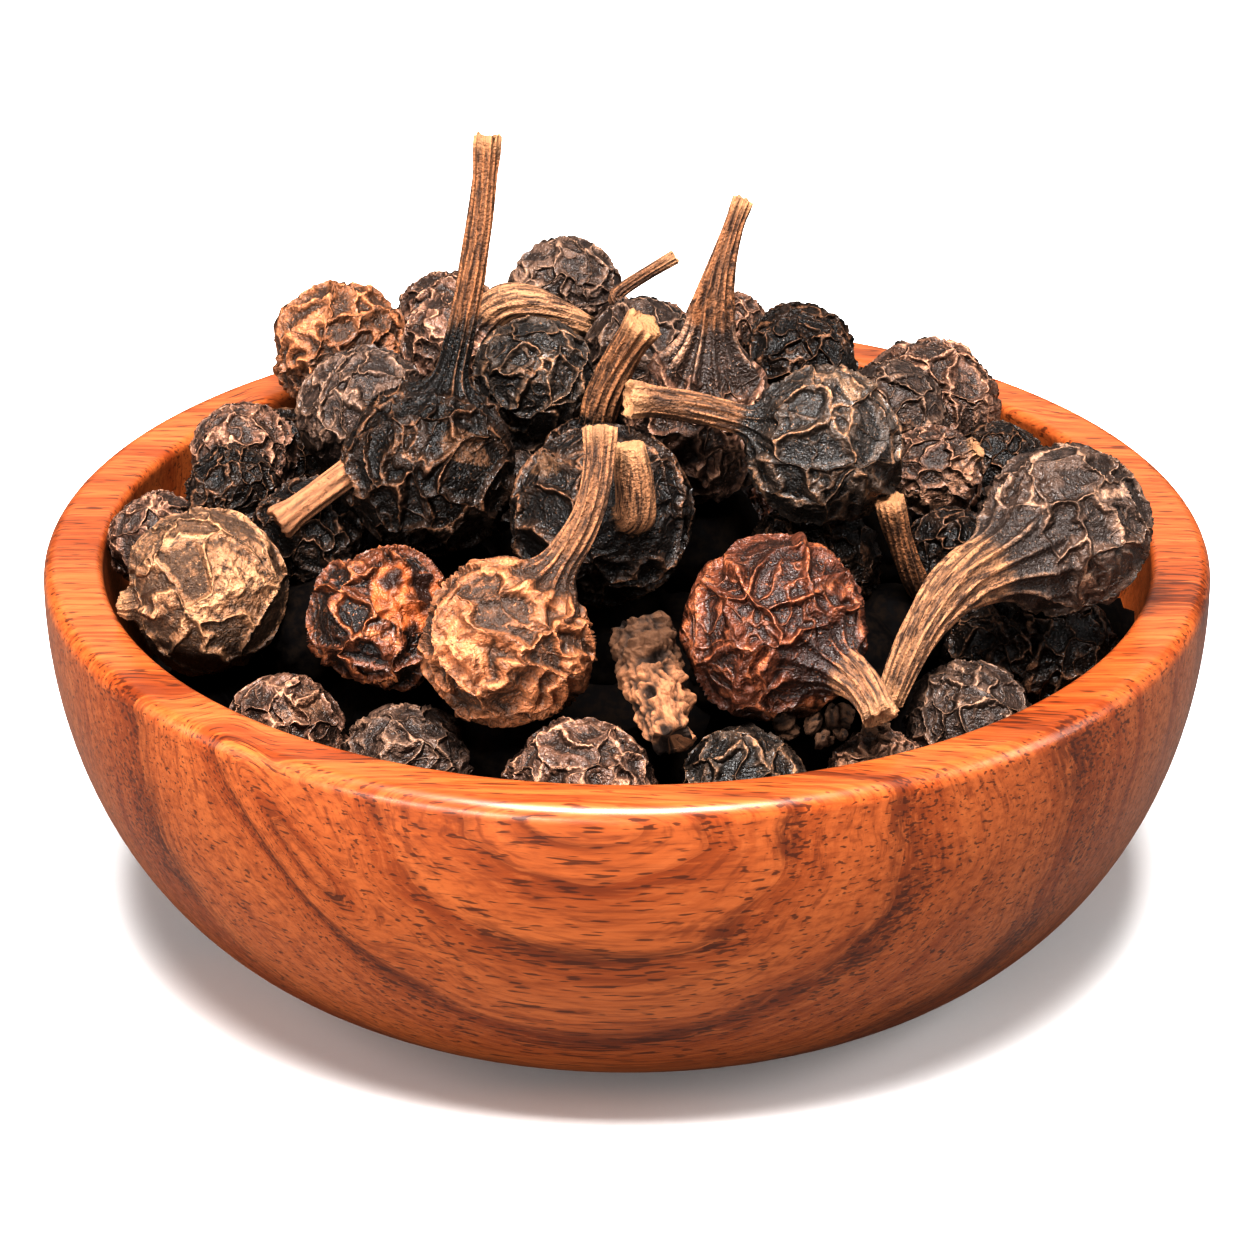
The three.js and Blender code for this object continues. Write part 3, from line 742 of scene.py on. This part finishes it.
FINISHES = {
    "black": cubeb_finish(
        "black_skin", (0.013, 0.008, 0.006), (0.058, 0.033, 0.022), (0.25, 0.130, 0.074),
        (0.20, 0.11, 0.062), 1.0, rough=0.30, dust_and_sheen=0.05, gloss=0.40),
    "slate": cubeb_finish(
        "slate_skin", (0.032, 0.024, 0.020), (0.102, 0.069, 0.051), (0.34, 0.190, 0.110),
        (0.36, 0.22, 0.135), 0.95, rough=0.28, dust_and_sheen=0.18, gloss=0.5),
    "umber": cubeb_finish(
        "umber_skin", (0.010, 0.006, 0.004), (0.046, 0.025, 0.016), (0.20, 0.102, 0.056),
        (0.15, 0.077, 0.042), 1.1, rough=0.29, gloss=0.38),
    "grey": cubeb_finish(
        "grey_skin", (0.072, 0.044, 0.033), (0.158, 0.098, 0.071), (0.34, 0.210, 0.142),
        (0.30, 0.18, 0.115), 1.05, rough=0.33, gloss=0.45),
    "brown": cubeb_finish(
        "brown_skin", (0.075, 0.041, 0.028), (0.250, 0.134, 0.090), (0.48, 0.280, 0.182),
        (0.38, 0.21, 0.13), 0.70, rough=0.34, gloss=0.5),
    "russet": cubeb_finish(
        "russet_skin", (0.055, 0.020, 0.012), (0.165, 0.056, 0.029), (0.40, 0.152, 0.070),
        (0.34, 0.13, 0.052), 0.95, rough=0.30, thread=0.014),
    "orange": cubeb_finish(
        "orange_skin", (0.018, 0.008, 0.005), (0.190, 0.064, 0.028), (0.46, 0.185, 0.078),
        (0.34, 0.125, 0.046), 0.95, rough=0.34, thread=0.016),
    "tan": cubeb_finish(
        "tan_skin", (0.120, 0.059, 0.032), (0.34, 0.145, 0.066), (0.55, 0.240, 0.110),
        (0.15, 0.078, 0.044), 0.70, rough=0.40, thread=0.016, mottle=0.5, pitting=1.6),
    "straw": cubeb_finish(
        "straw_skin", (0.19, 0.096, 0.048), (0.36, 0.190, 0.100), (0.54, 0.310, 0.170),
        (0.14, 0.070, 0.036), 0.5, rough=0.44, thread=0.012, mottle=1.0, pitting=2.4),
}

# The berries that show, as in the solid heap: kind, size, middle, and then the stalk: its tip from
# the middle, the way it leaves, and its radius at the neck and at the tip.
BERRIES = [
    # the five large ones in the middle
    dict(kind="umber", size=6.1, at=(-7.0, -2.9, 19.0), tip=(2.1, 3.5, 11.2), aim=(1, 1.1, 4),
         stem=(0.50, 0.42), shoulder=152, neck=1.45, bark=0.25, tone=0.4, bared=1.0,
         scuff=(0.46, -0.57, 0.68)),
    dict(kind="black", size=6.4, at=(-0.9, -5.2, 18.2), tip=(1.0, -3.0, 4.0), aim=(0.34, -0.85, 0.40),
         stem=(0.70, 0.66), shoulder=158, neck=1.1, ribbing=0.25, flare=-0.22, arch=0.12, bark=0.75,
         tone=0.5, scuff=(-0.62, -0.37, 0.70)),
    dict(kind="tan", size=5.9, at=(-4.1, -12.0, 16.5), tip=(3.2, 2.8, 6.8), aim=(2, 0.9, 2.9),
         stem=(0.60, 0.50), shoulder=150, neck=1.4, bark=0.5, tone=0.1, collar=0.50),
    dict(kind="russet", size=6.3, at=(5.1, -11.1, 16.6), tip=(3.5, -4.5, -1.2), aim=(3.3, -3.9, -0.5),
         stem=(0.75, 0.55), shoulder=150, neck=1.25, bark=0.55, tone=0.2),
    dict(kind="slate", size=5.7, at=(6.9, -3.1, 19.9), tip=(-6.8, -1.1, 2.3), aim=(-3, -0.3, 1.2),
         stem=(0.55, 0.55), shoulder=156, neck=1.2, flare=0.2, bark=0.55, tone=0.1,
         scuff=(0.2, -0.38, 0.90)),
    # at the right and left walls
    dict(kind="grey", size=6.1, at=(15.4, -4.7, 17.4), tip=(-6.4, -8.1, -2.8), aim=(-2.4, -2.8, 0.1),
         stem=(1.1, 0.45), shoulder=118, neck=1.7, taper=1.2, flare=0.0, bark=0.85, tone=0.7,
         collar=0.60),
    dict(kind="straw", size=5.9, at=(-14.9, -5.4, 15.4), tip=(-2.95, -0.75, -0.3), aim=(-3, -0.8, -0.3),
         stem=(0.50, 0.35), shoulder=140, neck=1.01, flare=0.0, bark=0.6, tone=0.2),
    dict(kind="orange", size=5.1, at=(-8.6, -8.2, 15.6), tone=0.0, split=(0.45, -0.50, 0.74)),
    # behind the large ones
    dict(kind="slate", size=4.4, at=(-3.3, 2.2, 20.2), tone=0.0),
    dict(kind="brown", size=5.4, at=(2.6, -0.2, 19.4), tip=(1.5, 0.8, 8.4), aim=(0.3, 0, 3),
         stem=(0.66, 0.28), shoulder=112, neck=1.75, ribbing=2.4, bark=0.3, tone=0.0, collar=0.55),
    dict(kind="black", size=3.4, at=(-1.4, -0.6, 18.1), tip=(2.0, -0.4, 5.7), aim=(0.5, -0.2, 2.5),
         stem=(0.62, 0.6), neck=1.3, bark=0.4),
    dict(kind="grey", size=4.9, at=(-9.6, 5.5, 17.4), tone=0.1),
    dict(kind="tan", size=5.1, at=(-10.7, 12.2, 17.1), tone=0.3),
    dict(kind="brown", size=4.0, at=(-14.1, 5.8, 15.5), tone=0.1),
    dict(kind="black", size=3.3, at=(-14.2, 0.2, 16.7)),
    dict(kind="brown", size=3.6, at=(-17.0, 0.9, 14.4), tone=0.3),
    dict(kind="black", size=4.1, at=(-11.3, -2.1, 16.0)),
    dict(kind="grey", size=4.4, at=(-2.3, 14.5, 18.3), tone=0.1),
    dict(kind="brown", size=3.9, at=(-6.9, 15.2, 17.0), tone=0.6),
    dict(kind="brown", size=4.0, at=(-6.4, 10.0, 18.1), tip=(4.9, -0.9, 1.1), aim=(1.5, -0.7, 1.8),
         stem=(0.75, 0.5), taper=1.3, ribbing=0.4, bark=1.0, tone=0.3, collar=0.45),
    dict(kind="brown", size=3.7, at=(0.9, 11.6, 17.4), tip=(0.9, 0.9, 3.3), aim=(-0.57, 0.2, 0.8),
         stem=(0.30, 0.24), arch=0.06, bark=0.5, tone=0.2),
    dict(kind="brown", size=3.5, at=(3.7, 14.1, 16.8), tone=0.4),
    dict(kind="umber", size=4.2, at=(6.4, 10.9, 17.3), tone=0.1),
    dict(kind="brown", size=5.2, at=(11.3, 10.4, 15.5), tone=0.5),
    dict(kind="brown", size=3.6, at=(11.2, 3.6, 15.8), tip=(1.5, -0.3, 1.2), stem=(0.45, 0.4), neck=1.1,
         bark=0.9, tone=0.5),
    dict(kind="black", size=3.5, at=(11.6, -1.2, 14.8), tip=(-2.4, -3.7, 3.9), aim=(-0.8, -2.6, -0.3),
         stem=(0.5, 0.42), bark=0.35),
    dict(kind="russet", size=3.6, at=(3.7, 1.5, 14.8), tone=0.8),
    # along the front wall
    dict(kind="black", size=3.9, at=(13.2, -5.1, 12.9), tone=0.3),
    dict(kind="brown", size=3.4, at=(16.3, -3.7, 11.3), tone=0.8),
    dict(kind="grey", size=4.5, at=(11.8, -11.3, 13.0), tone=0.7),
    dict(kind="brown", size=3.9, at=(8.7, -13.6, 11.8), tone=0.2),
    dict(kind="slate", size=4.6, at=(4.0, -14.3, 11.9), tone=0.1),
    dict(kind="brown", size=5.5, at=(-1.6, -15.0, 12.1), tone=0.9),
    dict(kind="grey", size=5.1, at=(-7.5, -12.3, 11.5), tone=0.0),
    dict(kind="brown", size=4.2, at=(-11.9, -10.6, 12.3), tone=0.5),
]
# Columns and rows of a berry's mesh: the ten that stand out, and the rest.
FINE_MESH, PLAIN_MESH = (160, 120), (92, 62)
STAND_OUT = 10


def atlas_cell(n, count):
    """The n-th of count cells of the unit square, with a small margin round each."""
    across = math.ceil(math.sqrt(count))
    down = math.ceil(count / across)
    x, y = n % across, n // across
    margin = 0.02 / across
    return (x / across + margin, y / down + margin, (x + 1) / across - margin, (y + 1) / down - margin)


for kind in WRINKLES:
    rows_of_kind = [(n, row) for n, row in enumerate(BERRIES) if row["kind"] == kind]
    skins = []
    for order, (n, row) in enumerate(rows_of_kind):
        columns, rows = FINE_MESH if n < STAND_OUT else PLAIN_MESH
        skins.append(cubeb(seed=100 * (n + 1), columns=columns, rows=rows,
                           cell=atlas_cell(order, len(rows_of_kind)), **row))
    piece("cubebs_" + kind, joined(skins), FINISHES[kind], "dried_cubeb", "cubeb_heap")

# ---- The berries below ----------------------------------------------------------------------
# More of the same berries lie under and behind those that show. They are seen only in the dark
# gaps and from behind. Each rests on others, and the bowl's middle is full of them.
HEAP_EDGE_HEIGHT, HEAP_RISE, HEAP_TILT, HEAP_REACH = 13.6, 5.3, 0.13, 19.0
SUNK_SIZE, SUNK_INSET, SUNK_SPACING = 4.8, 0.97, 4.2
FILL_TRIES, FILL_SIZES, FILL_REACH, FILL_FRONT = 280, (4.6, 4.2, 3.8), 16.4, 4.0
FILL_DEPTHS = (4.2, 3.6, 3.0, 2.4, 1.8, 1.2, 0.6, 0.0)
DEEP, SQUEEZE = 3.0, 0.6
HALF_SEEN_MESH, DEEP_MESH = (72, 48), (34, 22)
FRONT_PART = 6.0                 # in front of this y the deep ones only show in dark gaps


def heap_height(x, y):
    """Height of the top berries' middles: a quarter cosine from the middle to the wall, tilted."""
    share = min(1, math.hypot(x, y) / HEAP_REACH)
    return HEAP_EDGE_HEIGHT + HEAP_RISE * math.cos(math.pi / 2 * share) + HEAP_TILT * y


def sunk_berries():
    """Under each berry that shows lies another, unless one is there already."""
    sunk = []
    for row in BERRIES:
        drop = (row["size"] + SUNK_SIZE) / 2 - SQUEEZE
        place = (row["at"][0] * SUNK_INSET, row["at"][1] * SUNK_INSET, row["at"][2] - drop)
        if all(math.dist(place, at) > SUNK_SPACING for _, at in sunk):
            sunk.append((SUNK_SIZE, place))
    return sunk


def fits(size, place, others):
    """Whether a berry there presses into no other by more than the squeeze."""
    return all(math.dist(place, at) > (size + other) / 2 - SQUEEZE for other, at in others)


def fill_berries(others):
    """Places on a spiral from the wall inwards, each tried from its depth up till one is free."""
    added = []
    for k in range(FILL_TRIES):
        radius = FILL_REACH * math.sqrt(1 - k / FILL_TRIES)
        x, y = radius * math.cos(k * GOLDEN_ANGLE), radius * math.sin(k * GOLDEN_ANGLE)
        size = FILL_SIZES[k % len(FILL_SIZES)]
        for depth in FILL_DEPTHS:
            if y <= FILL_FRONT and depth < DEEP:
                continue
            place = (x, y, heap_height(x, y) - depth)
            if fits(size, place, others + added):
                added.append((size, place))
                break
    return added


def shade_finish():
    """Near black with a rough grain: painted shade, for what lies in the shade between the berries."""
    shade = Finish("painted_shade_dark")
    place = shade.placed(shade.seat, scale=(1000, 1000, 1000))
    grain = shade.noise(place, 2.2, 3, 0.65)
    shade.link(shade.mixed(shade.graded(grain, 0.4, 0.65), (0.003, 0.002, 0.002), (0.010, 0.006, 0.004)),
               shade.shader.inputs["Base Color"])
    shade.link(shade.graded(grain, 0.3, 0.7, 0.7, 0.95), shade.shader.inputs["Roughness"])
    shade.shader.inputs["Specular IOR Level"].default_value = 0.05
    return shade.material


# This near-black finish is painted shade: the hidden berries and the core get it because they lie in
# shade, not for their own colour.
FINISHES["deep"] = shade_finish()
sunk = sunk_berries()
fill = fill_berries([(row["size"], row["at"]) for row in BERRIES] + sunk)
# The deep ones in the front part show only in shade, and they get the painted-shade finish.
hidden = [(size, at) for size, at in sunk + fill
          if heap_height(*at[:2]) - at[2] > DEEP - 0.1 and at[1] < FRONT_PART]
half_seen = [row for row in sunk + fill if row not in hidden]
kinds_below = {"umber": half_seen[0::3], "black": half_seen[1::3], "grey": half_seen[2::3],
               "deep": hidden}
for turn, (kind, rows_of_kind) in enumerate(kinds_below.items()):
    columns, rows = DEEP_MESH if kind == "deep" else HALF_SEEN_MESH
    wrinkled_as = "umber" if kind == "deep" else kind
    skins = [cubeb(wrinkled_as, size, at, 7000 + 100 * n + turn, columns, rows,
                   atlas_cell(n, len(rows_of_kind))) for n, (size, at) in enumerate(rows_of_kind)]
    piece("cubebs_below_" + kind, joined(skins), FINISHES[kind], "dried_cubeb", "cubeb_heap")

# ---- What lies deeper -----------------------------------------------------------------------
# Deeper down the heap is more of the same, packed and in the dark. One rough core, painted near black as
# shade, stands for it, a gap clear of the wall, with a domed top that leans to the back as the heap does.
WALL_GAP = 0.3
CORE_DEPTH = 4.5
CORE_EDGE = HEAP_EDGE_HEIGHT - CORE_DEPTH
CORE_COLUMNS, CORE_LUMP = 96, 0.25


def core_profile():
    """Inner wall less the gap up to the edge, then the heap's quarter cosine back to the middle."""
    wall = inner_wall[inner_wall[:, 1] < CORE_EDGE] + [-WALL_GAP, WALL_GAP * 0.5]
    radii = np.linspace(wall[-1, 0], 0.4, 40)[1:]
    dome = np.stack([radii, CORE_EDGE + HEAP_RISE * np.cos(np.pi / 2 * radii / HEAP_REACH)], -1)
    floor_line = np.stack([np.linspace(0.4, wall[0, 0], 8)[:-1], np.full(7, wall[0, 1])], -1)
    return np.vstack([floor_line, wall, dome])


core_rings = turned_rings(core_profile(), CORE_COLUMNS)
core_lean = HEAP_TILT * core_rings[..., 1] * smoothly(core_rings[..., 2], FLOOR_HEIGHT + 2, CORE_EDGE)
core_lumps = waves(core_rings.reshape(-1, 3), 0.9, 901).reshape(core_lean.shape)
on_dome = smoothly(core_rings[..., 2], CORE_EDGE, CORE_EDGE + 1)
core_rings[..., 2] += core_lean + CORE_LUMP * core_lumps * on_dome
core_skin = closed_skin(core_rings, core_rings[0].mean(0), core_rings[-1].mean(0))
piece("heap_core", core_skin, FINISHES["deep"], "dried_cubeb", "cubeb_heap")

# ---- The loose bits -------------------------------------------------------------------------
# A stalk snapped off its berry, a crumbly length of the spike the berries grew on, with the scars
# where they sat, and a few crumbs and flakes of skin that lie between the berries at the front.
LOOSE_STALK = [(-9.8, -3.3, 19.0), (-11.0, -3.6, 18.2), (-12.3, -4.1, 17.4)]
LOOSE_STALK_RADIUS = 0.5
SPIKE = [(0.6, -11.2, 16.6), (0.9, -13.0, 15.3), (1.5, -15.0, 14.3)]
SPIKE_RADIUS = 1.05
CRUMB_COUNT = 26
CRUMB_FIELD = ((5.2, -14.2, 13.2), (8.8, -12.4, 14.5))
CRUMB_SIZES = (0.45, 1.15)


def bent_bit(path, radii, columns, seed, lift, cell, aged=0.0):
    """A closed skin round the quadratic curve through a path's three points: rings of the given
    radii, each point moved outwards by lift(angle, share of the length), with a broken end at both
    ends. The first third is browner by aged."""
    start, middle, end = (np.array(point, float) for point in path)
    line, ahead = curve(start, 2 * middle - (start + end) / 2, end, len(radii))
    a = np.linspace(0, 2 * np.pi, columns, endpoint=False)
    round_ways = ring_ways(a, *square_to(ahead))
    shares = np.linspace(0, 1, len(radii))
    angle, share = np.meshgrid(a, shares)
    lifted = lift(angle, share)
    rings = line[:, None] + (radii[:, None] * (1 + lifted))[..., None] * round_ways
    first = broken_end(line[0], -ahead[0], round_ways[0], radii[0], seed)[::-1]
    last = broken_end(line[-1], ahead[-1], round_ways[-1], radii[-1], seed + 1)
    whole = np.concatenate([first, rings, last])
    skin = closed_skin(whole, first[0].mean(0), last[-1].mean(0), cell)

    def over(values):
        """The values at the rings' points, held over the broken ends and their middles."""
        flat = np.concatenate([np.repeat(values[:1], 3, 0), values, np.repeat(values[-1:], 3, 0)])
        flat = flat.reshape(-1, *values.shape[2:])
        return np.concatenate([flat[:1], flat, flat[-1:]])

    length = np.linalg.norm(np.diff(line, axis=0), axis=1).sum()
    across = radii.mean() * np.stack([np.cos(angle), np.sin(angle)], -1)
    skin["grain"] = over(np.dstack([across, length * share * 0.16])) + seed * 0.31
    skin["height"] = over(lifted)
    skin["rust"] = over(aged * (1 - smoothly(share, 0.25, 0.55)))
    return skin


def stalk_lift(angle, share):
    """Nine ribs that sway a little along the length."""
    return 0.055 * (np.cos(9 * angle + 3 * share) + 0.6 * np.cos(5 * angle - 4 * share + 1))


def spike_lift(angle, share):
    """Crumbly lumps with creases between them, which are noises without their sign, and deep scars."""
    ways = np.stack([np.cos(angle), np.sin(angle), 4.2 * share], -1).reshape(-1, 3)
    lumps = 0.34 * np.abs(waves(shaken(ways, 2.5, 0.15, 960), 2.6, 961))
    lumps += 0.20 * np.abs(waves(ways, 5.5, 962)) + 0.10 * np.abs(waves(ways, 11.0, 963))
    scars = -0.45 * smoothly(waves(ways, 2.0, 964), 0.30, 0.65)
    return (lumps + scars).reshape(angle.shape) - 0.22


def crumb(x, y, z, size, seed, cell):
    """A torn flake: a flattened ball whose radius is a noise of the way from its middle."""
    profile = resampled(cubeb_profile(size / 2, 0.05 * size, 170, 0.99), 17)
    rings = turned_rings(profile[1:, ::-1], 24)
    ways = rings.reshape(-1, 3) / (size / 2)
    swell = 1 + 0.38 * waves(ways, 2.4, seed) + 0.2 * waves(ways, 6.0, seed + 1)
    rng = np.random.default_rng(seed)
    flat = unit(rng.normal(size=3))
    across = unit(np.cross(flat, [0.3, 0.5, 0.8]))
    up = np.cross(flat, across)
    shape = ways * swell[:, None] * size / 2 * [1.0, 0.75, 0.45]
    rings = ([x, y, z] + shape @ np.stack([across, up, flat])).reshape(rings.shape)
    skin = closed_skin(rings, rings[0].mean(0), rings[-1].mean(0), cell)
    skin["grain"] = np.vstack([ways[:1], ways, ways[-1:]]) + seed * 0.31
    skin["height"] = np.concatenate([[0], swell - 1, [0]]) * 0.8
    skin["rust"] = np.full(len(skin["points"]), 1.0)
    return skin


def bit_finish():
    """Dry tan fibre with painted shade where it sinks in, streaked along its length, browner on the
    crumbs.
    """
    bit = Finish("dry_fibre")
    place = bit.placed(bit.seat, scale=(1000, 1000, 1000))
    streak = bit.noise(bit.attribute("grain", "Vector"), 6.0, 4, 0.65)
    grain = bit.noise(place, 6.0, 5, 0.7)
    light = bit.mixed(bit.attribute("rust"), (0.41, 0.200, 0.102), (0.090, 0.042, 0.019))
    colour = bit.mixed(bit.graded(streak, 0.36, 0.55, 0.6, 0.0), light, (0.14, 0.070, 0.036))
    # Painted shade: darker where the surface sinks in, in the creases, scars and grooves.
    colour = bit.mixed(bit.graded(bit.attribute("height"), 0.02, -0.20), colour, (0.035, 0.017, 0.009))
    colour = bit.mixed(bit.graded(grain, 0.40, 0.30, 0.0, 0.8), colour, (0.045, 0.022, 0.012))
    bit.link(colour, bit.shader.inputs["Base Color"])
    bit.link(bit.graded(grain, 0.3, 0.7, 0.55, 0.85), bit.shader.inputs["Roughness"])
    bit.link(bit.bump(grain, 0.8, 0.00018), bit.shader.inputs["Normal"])
    return bit.material


crumb_draw = np.random.default_rng(977)
count = 2 + CRUMB_COUNT
stalk_radii = LOOSE_STALK_RADIUS * (1 + 0.25 * smoothly(np.linspace(0, 1, 26), 0.75, 1.0))
spike_radii = SPIKE_RADIUS * np.linspace(1.12, 0.76, 110)
bits = [
    bent_bit(LOOSE_STALK, stalk_radii, 72, 951, stalk_lift, atlas_cell(0, count)),
    bent_bit(SPIKE, spike_radii, 150, 955, spike_lift, atlas_cell(1, count), aged=0.9),
]
bits += [crumb(*crumb_draw.uniform(*CRUMB_FIELD), crumb_draw.uniform(*CRUMB_SIZES), 980 + 5 * n,
               atlas_cell(2 + n, count)) for n in range(CRUMB_COUNT)]
piece("loose_bits", joined(bits), bit_finish(), "dried_cubeb", "cubeb_heap")

# ---- The floor, the light and the camera ----------------------------------------------------
# A plain white floor, soft white light from all round with a large soft lamp above, and a long
# lens that looks down at the bowl.
CAMERA_DISTANCE = 240.0
CAMERA_TILT = math.radians(25.57)
CAMERA_AIM = 11.36
PICTURE_WIDTH = 1254
FOCAL_PIXELS = 6616.0
SENSOR_WIDTH = 36.0
LAMPS_AIM = (0, 0, 0.012)


def seen_and_lit(tree, seen, lit):
    """A colour that is seen by the camera as one value and lights the rest as another."""
    path = tree.nodes.new("ShaderNodeLightPath")
    mix = tree.nodes.new("ShaderNodeMix")
    mix.data_type = "RGBA"
    tree.links.new(path.outputs["Is Camera Ray"], mix.inputs[0])
    mix.inputs[6].default_value = (*lit, 1.0)
    mix.inputs[7].default_value = (*seen, 1.0)
    return mix.outputs[2]


floor_mesh = bpy.data.meshes.new("floor")
reach = 3.0
floor_mesh.from_pydata([(-reach, -reach, 0), (reach, -reach, 0), (reach, reach, 0), (-reach, reach, 0)],
                       [], [(0, 1, 2, 3)])
floor = bpy.data.objects.new("floor", floor_mesh)
bpy.context.scene.collection.objects.link(floor)
floor_white = Finish("floor_white")
floor_white.link(seen_and_lit(floor_white.material.node_tree, (0.93, 0.93, 0.93), (0.14, 0.14, 0.14)),
                 floor_white.shader.inputs["Base Color"])
floor_white.shader.inputs["Roughness"].default_value = 1.0
floor_white.shader.inputs["Specular IOR Level"].default_value = 0.0
floor.data.materials.append(floor_white.material)


def soft_lamp(name, place, size, power):
    """A rectangular lamp at place that faces the bowl's middle."""
    lamp = bpy.data.lights.new(name, "AREA")
    lamp.shape = "RECTANGLE"
    lamp.size, lamp.size_y = size
    lamp.energy = power
    made = bpy.data.objects.new(name, lamp)
    bpy.context.scene.collection.objects.link(made)
    made.location = place
    way = np.array(LAMPS_AIM) - place
    tilt = math.atan2(math.hypot(way[0], way[1]), -way[2])
    made.rotation_euler = (tilt, 0, math.atan2(way[1], way[0]) - math.pi / 2)


soft_lamp("lamp_above", (-0.01, -0.13, 0.38), (0.20, 0.16), 6.0)
soft_lamp("lamp_front", (-0.24, -0.43, 0.07), (0.36, 0.12), 3.2)
soft_lamp("lamp_left", (-0.38, -0.04, 0.18), (0.14, 0.28), 0.6)
soft_lamp("lamp_right", (0.38, -0.04, 0.18), (0.14, 0.28), 1.3)
soft_lamp("lamp_back", (0.0, 0.38, 0.22), (0.50, 0.20), 0.3)

world = bpy.data.worlds.new("studio")
world.use_nodes = True
world.node_tree.links.new(seen_and_lit(world.node_tree, (1.0, 1.0, 1.0), (0.09, 0.09, 0.09)),
                          world.node_tree.nodes["Background"].inputs["Color"])
bpy.context.scene.world = world
bpy.context.scene.view_settings.view_transform = "Standard"
bpy.context.scene.view_settings.gamma = 0.70

camera = bpy.data.cameras.new("camera")
camera.sensor_width = SENSOR_WIDTH
camera.lens = FOCAL_PIXELS / PICTURE_WIDTH * SENSOR_WIDTH
camera.clip_start, camera.clip_end = 0.01, 20
camera_object = bpy.data.objects.new("camera", camera)
bpy.context.scene.collection.objects.link(camera_object)
camera_object.location = (0, -CAMERA_DISTANCE * math.cos(CAMERA_TILT) * MM,
                          (CAMERA_AIM + CAMERA_DISTANCE * math.sin(CAMERA_TILT)) * MM)
camera_object.rotation_euler = (math.pi / 2 - CAMERA_TILT, 0, 0)
bpy.context.scene.camera = camera_object
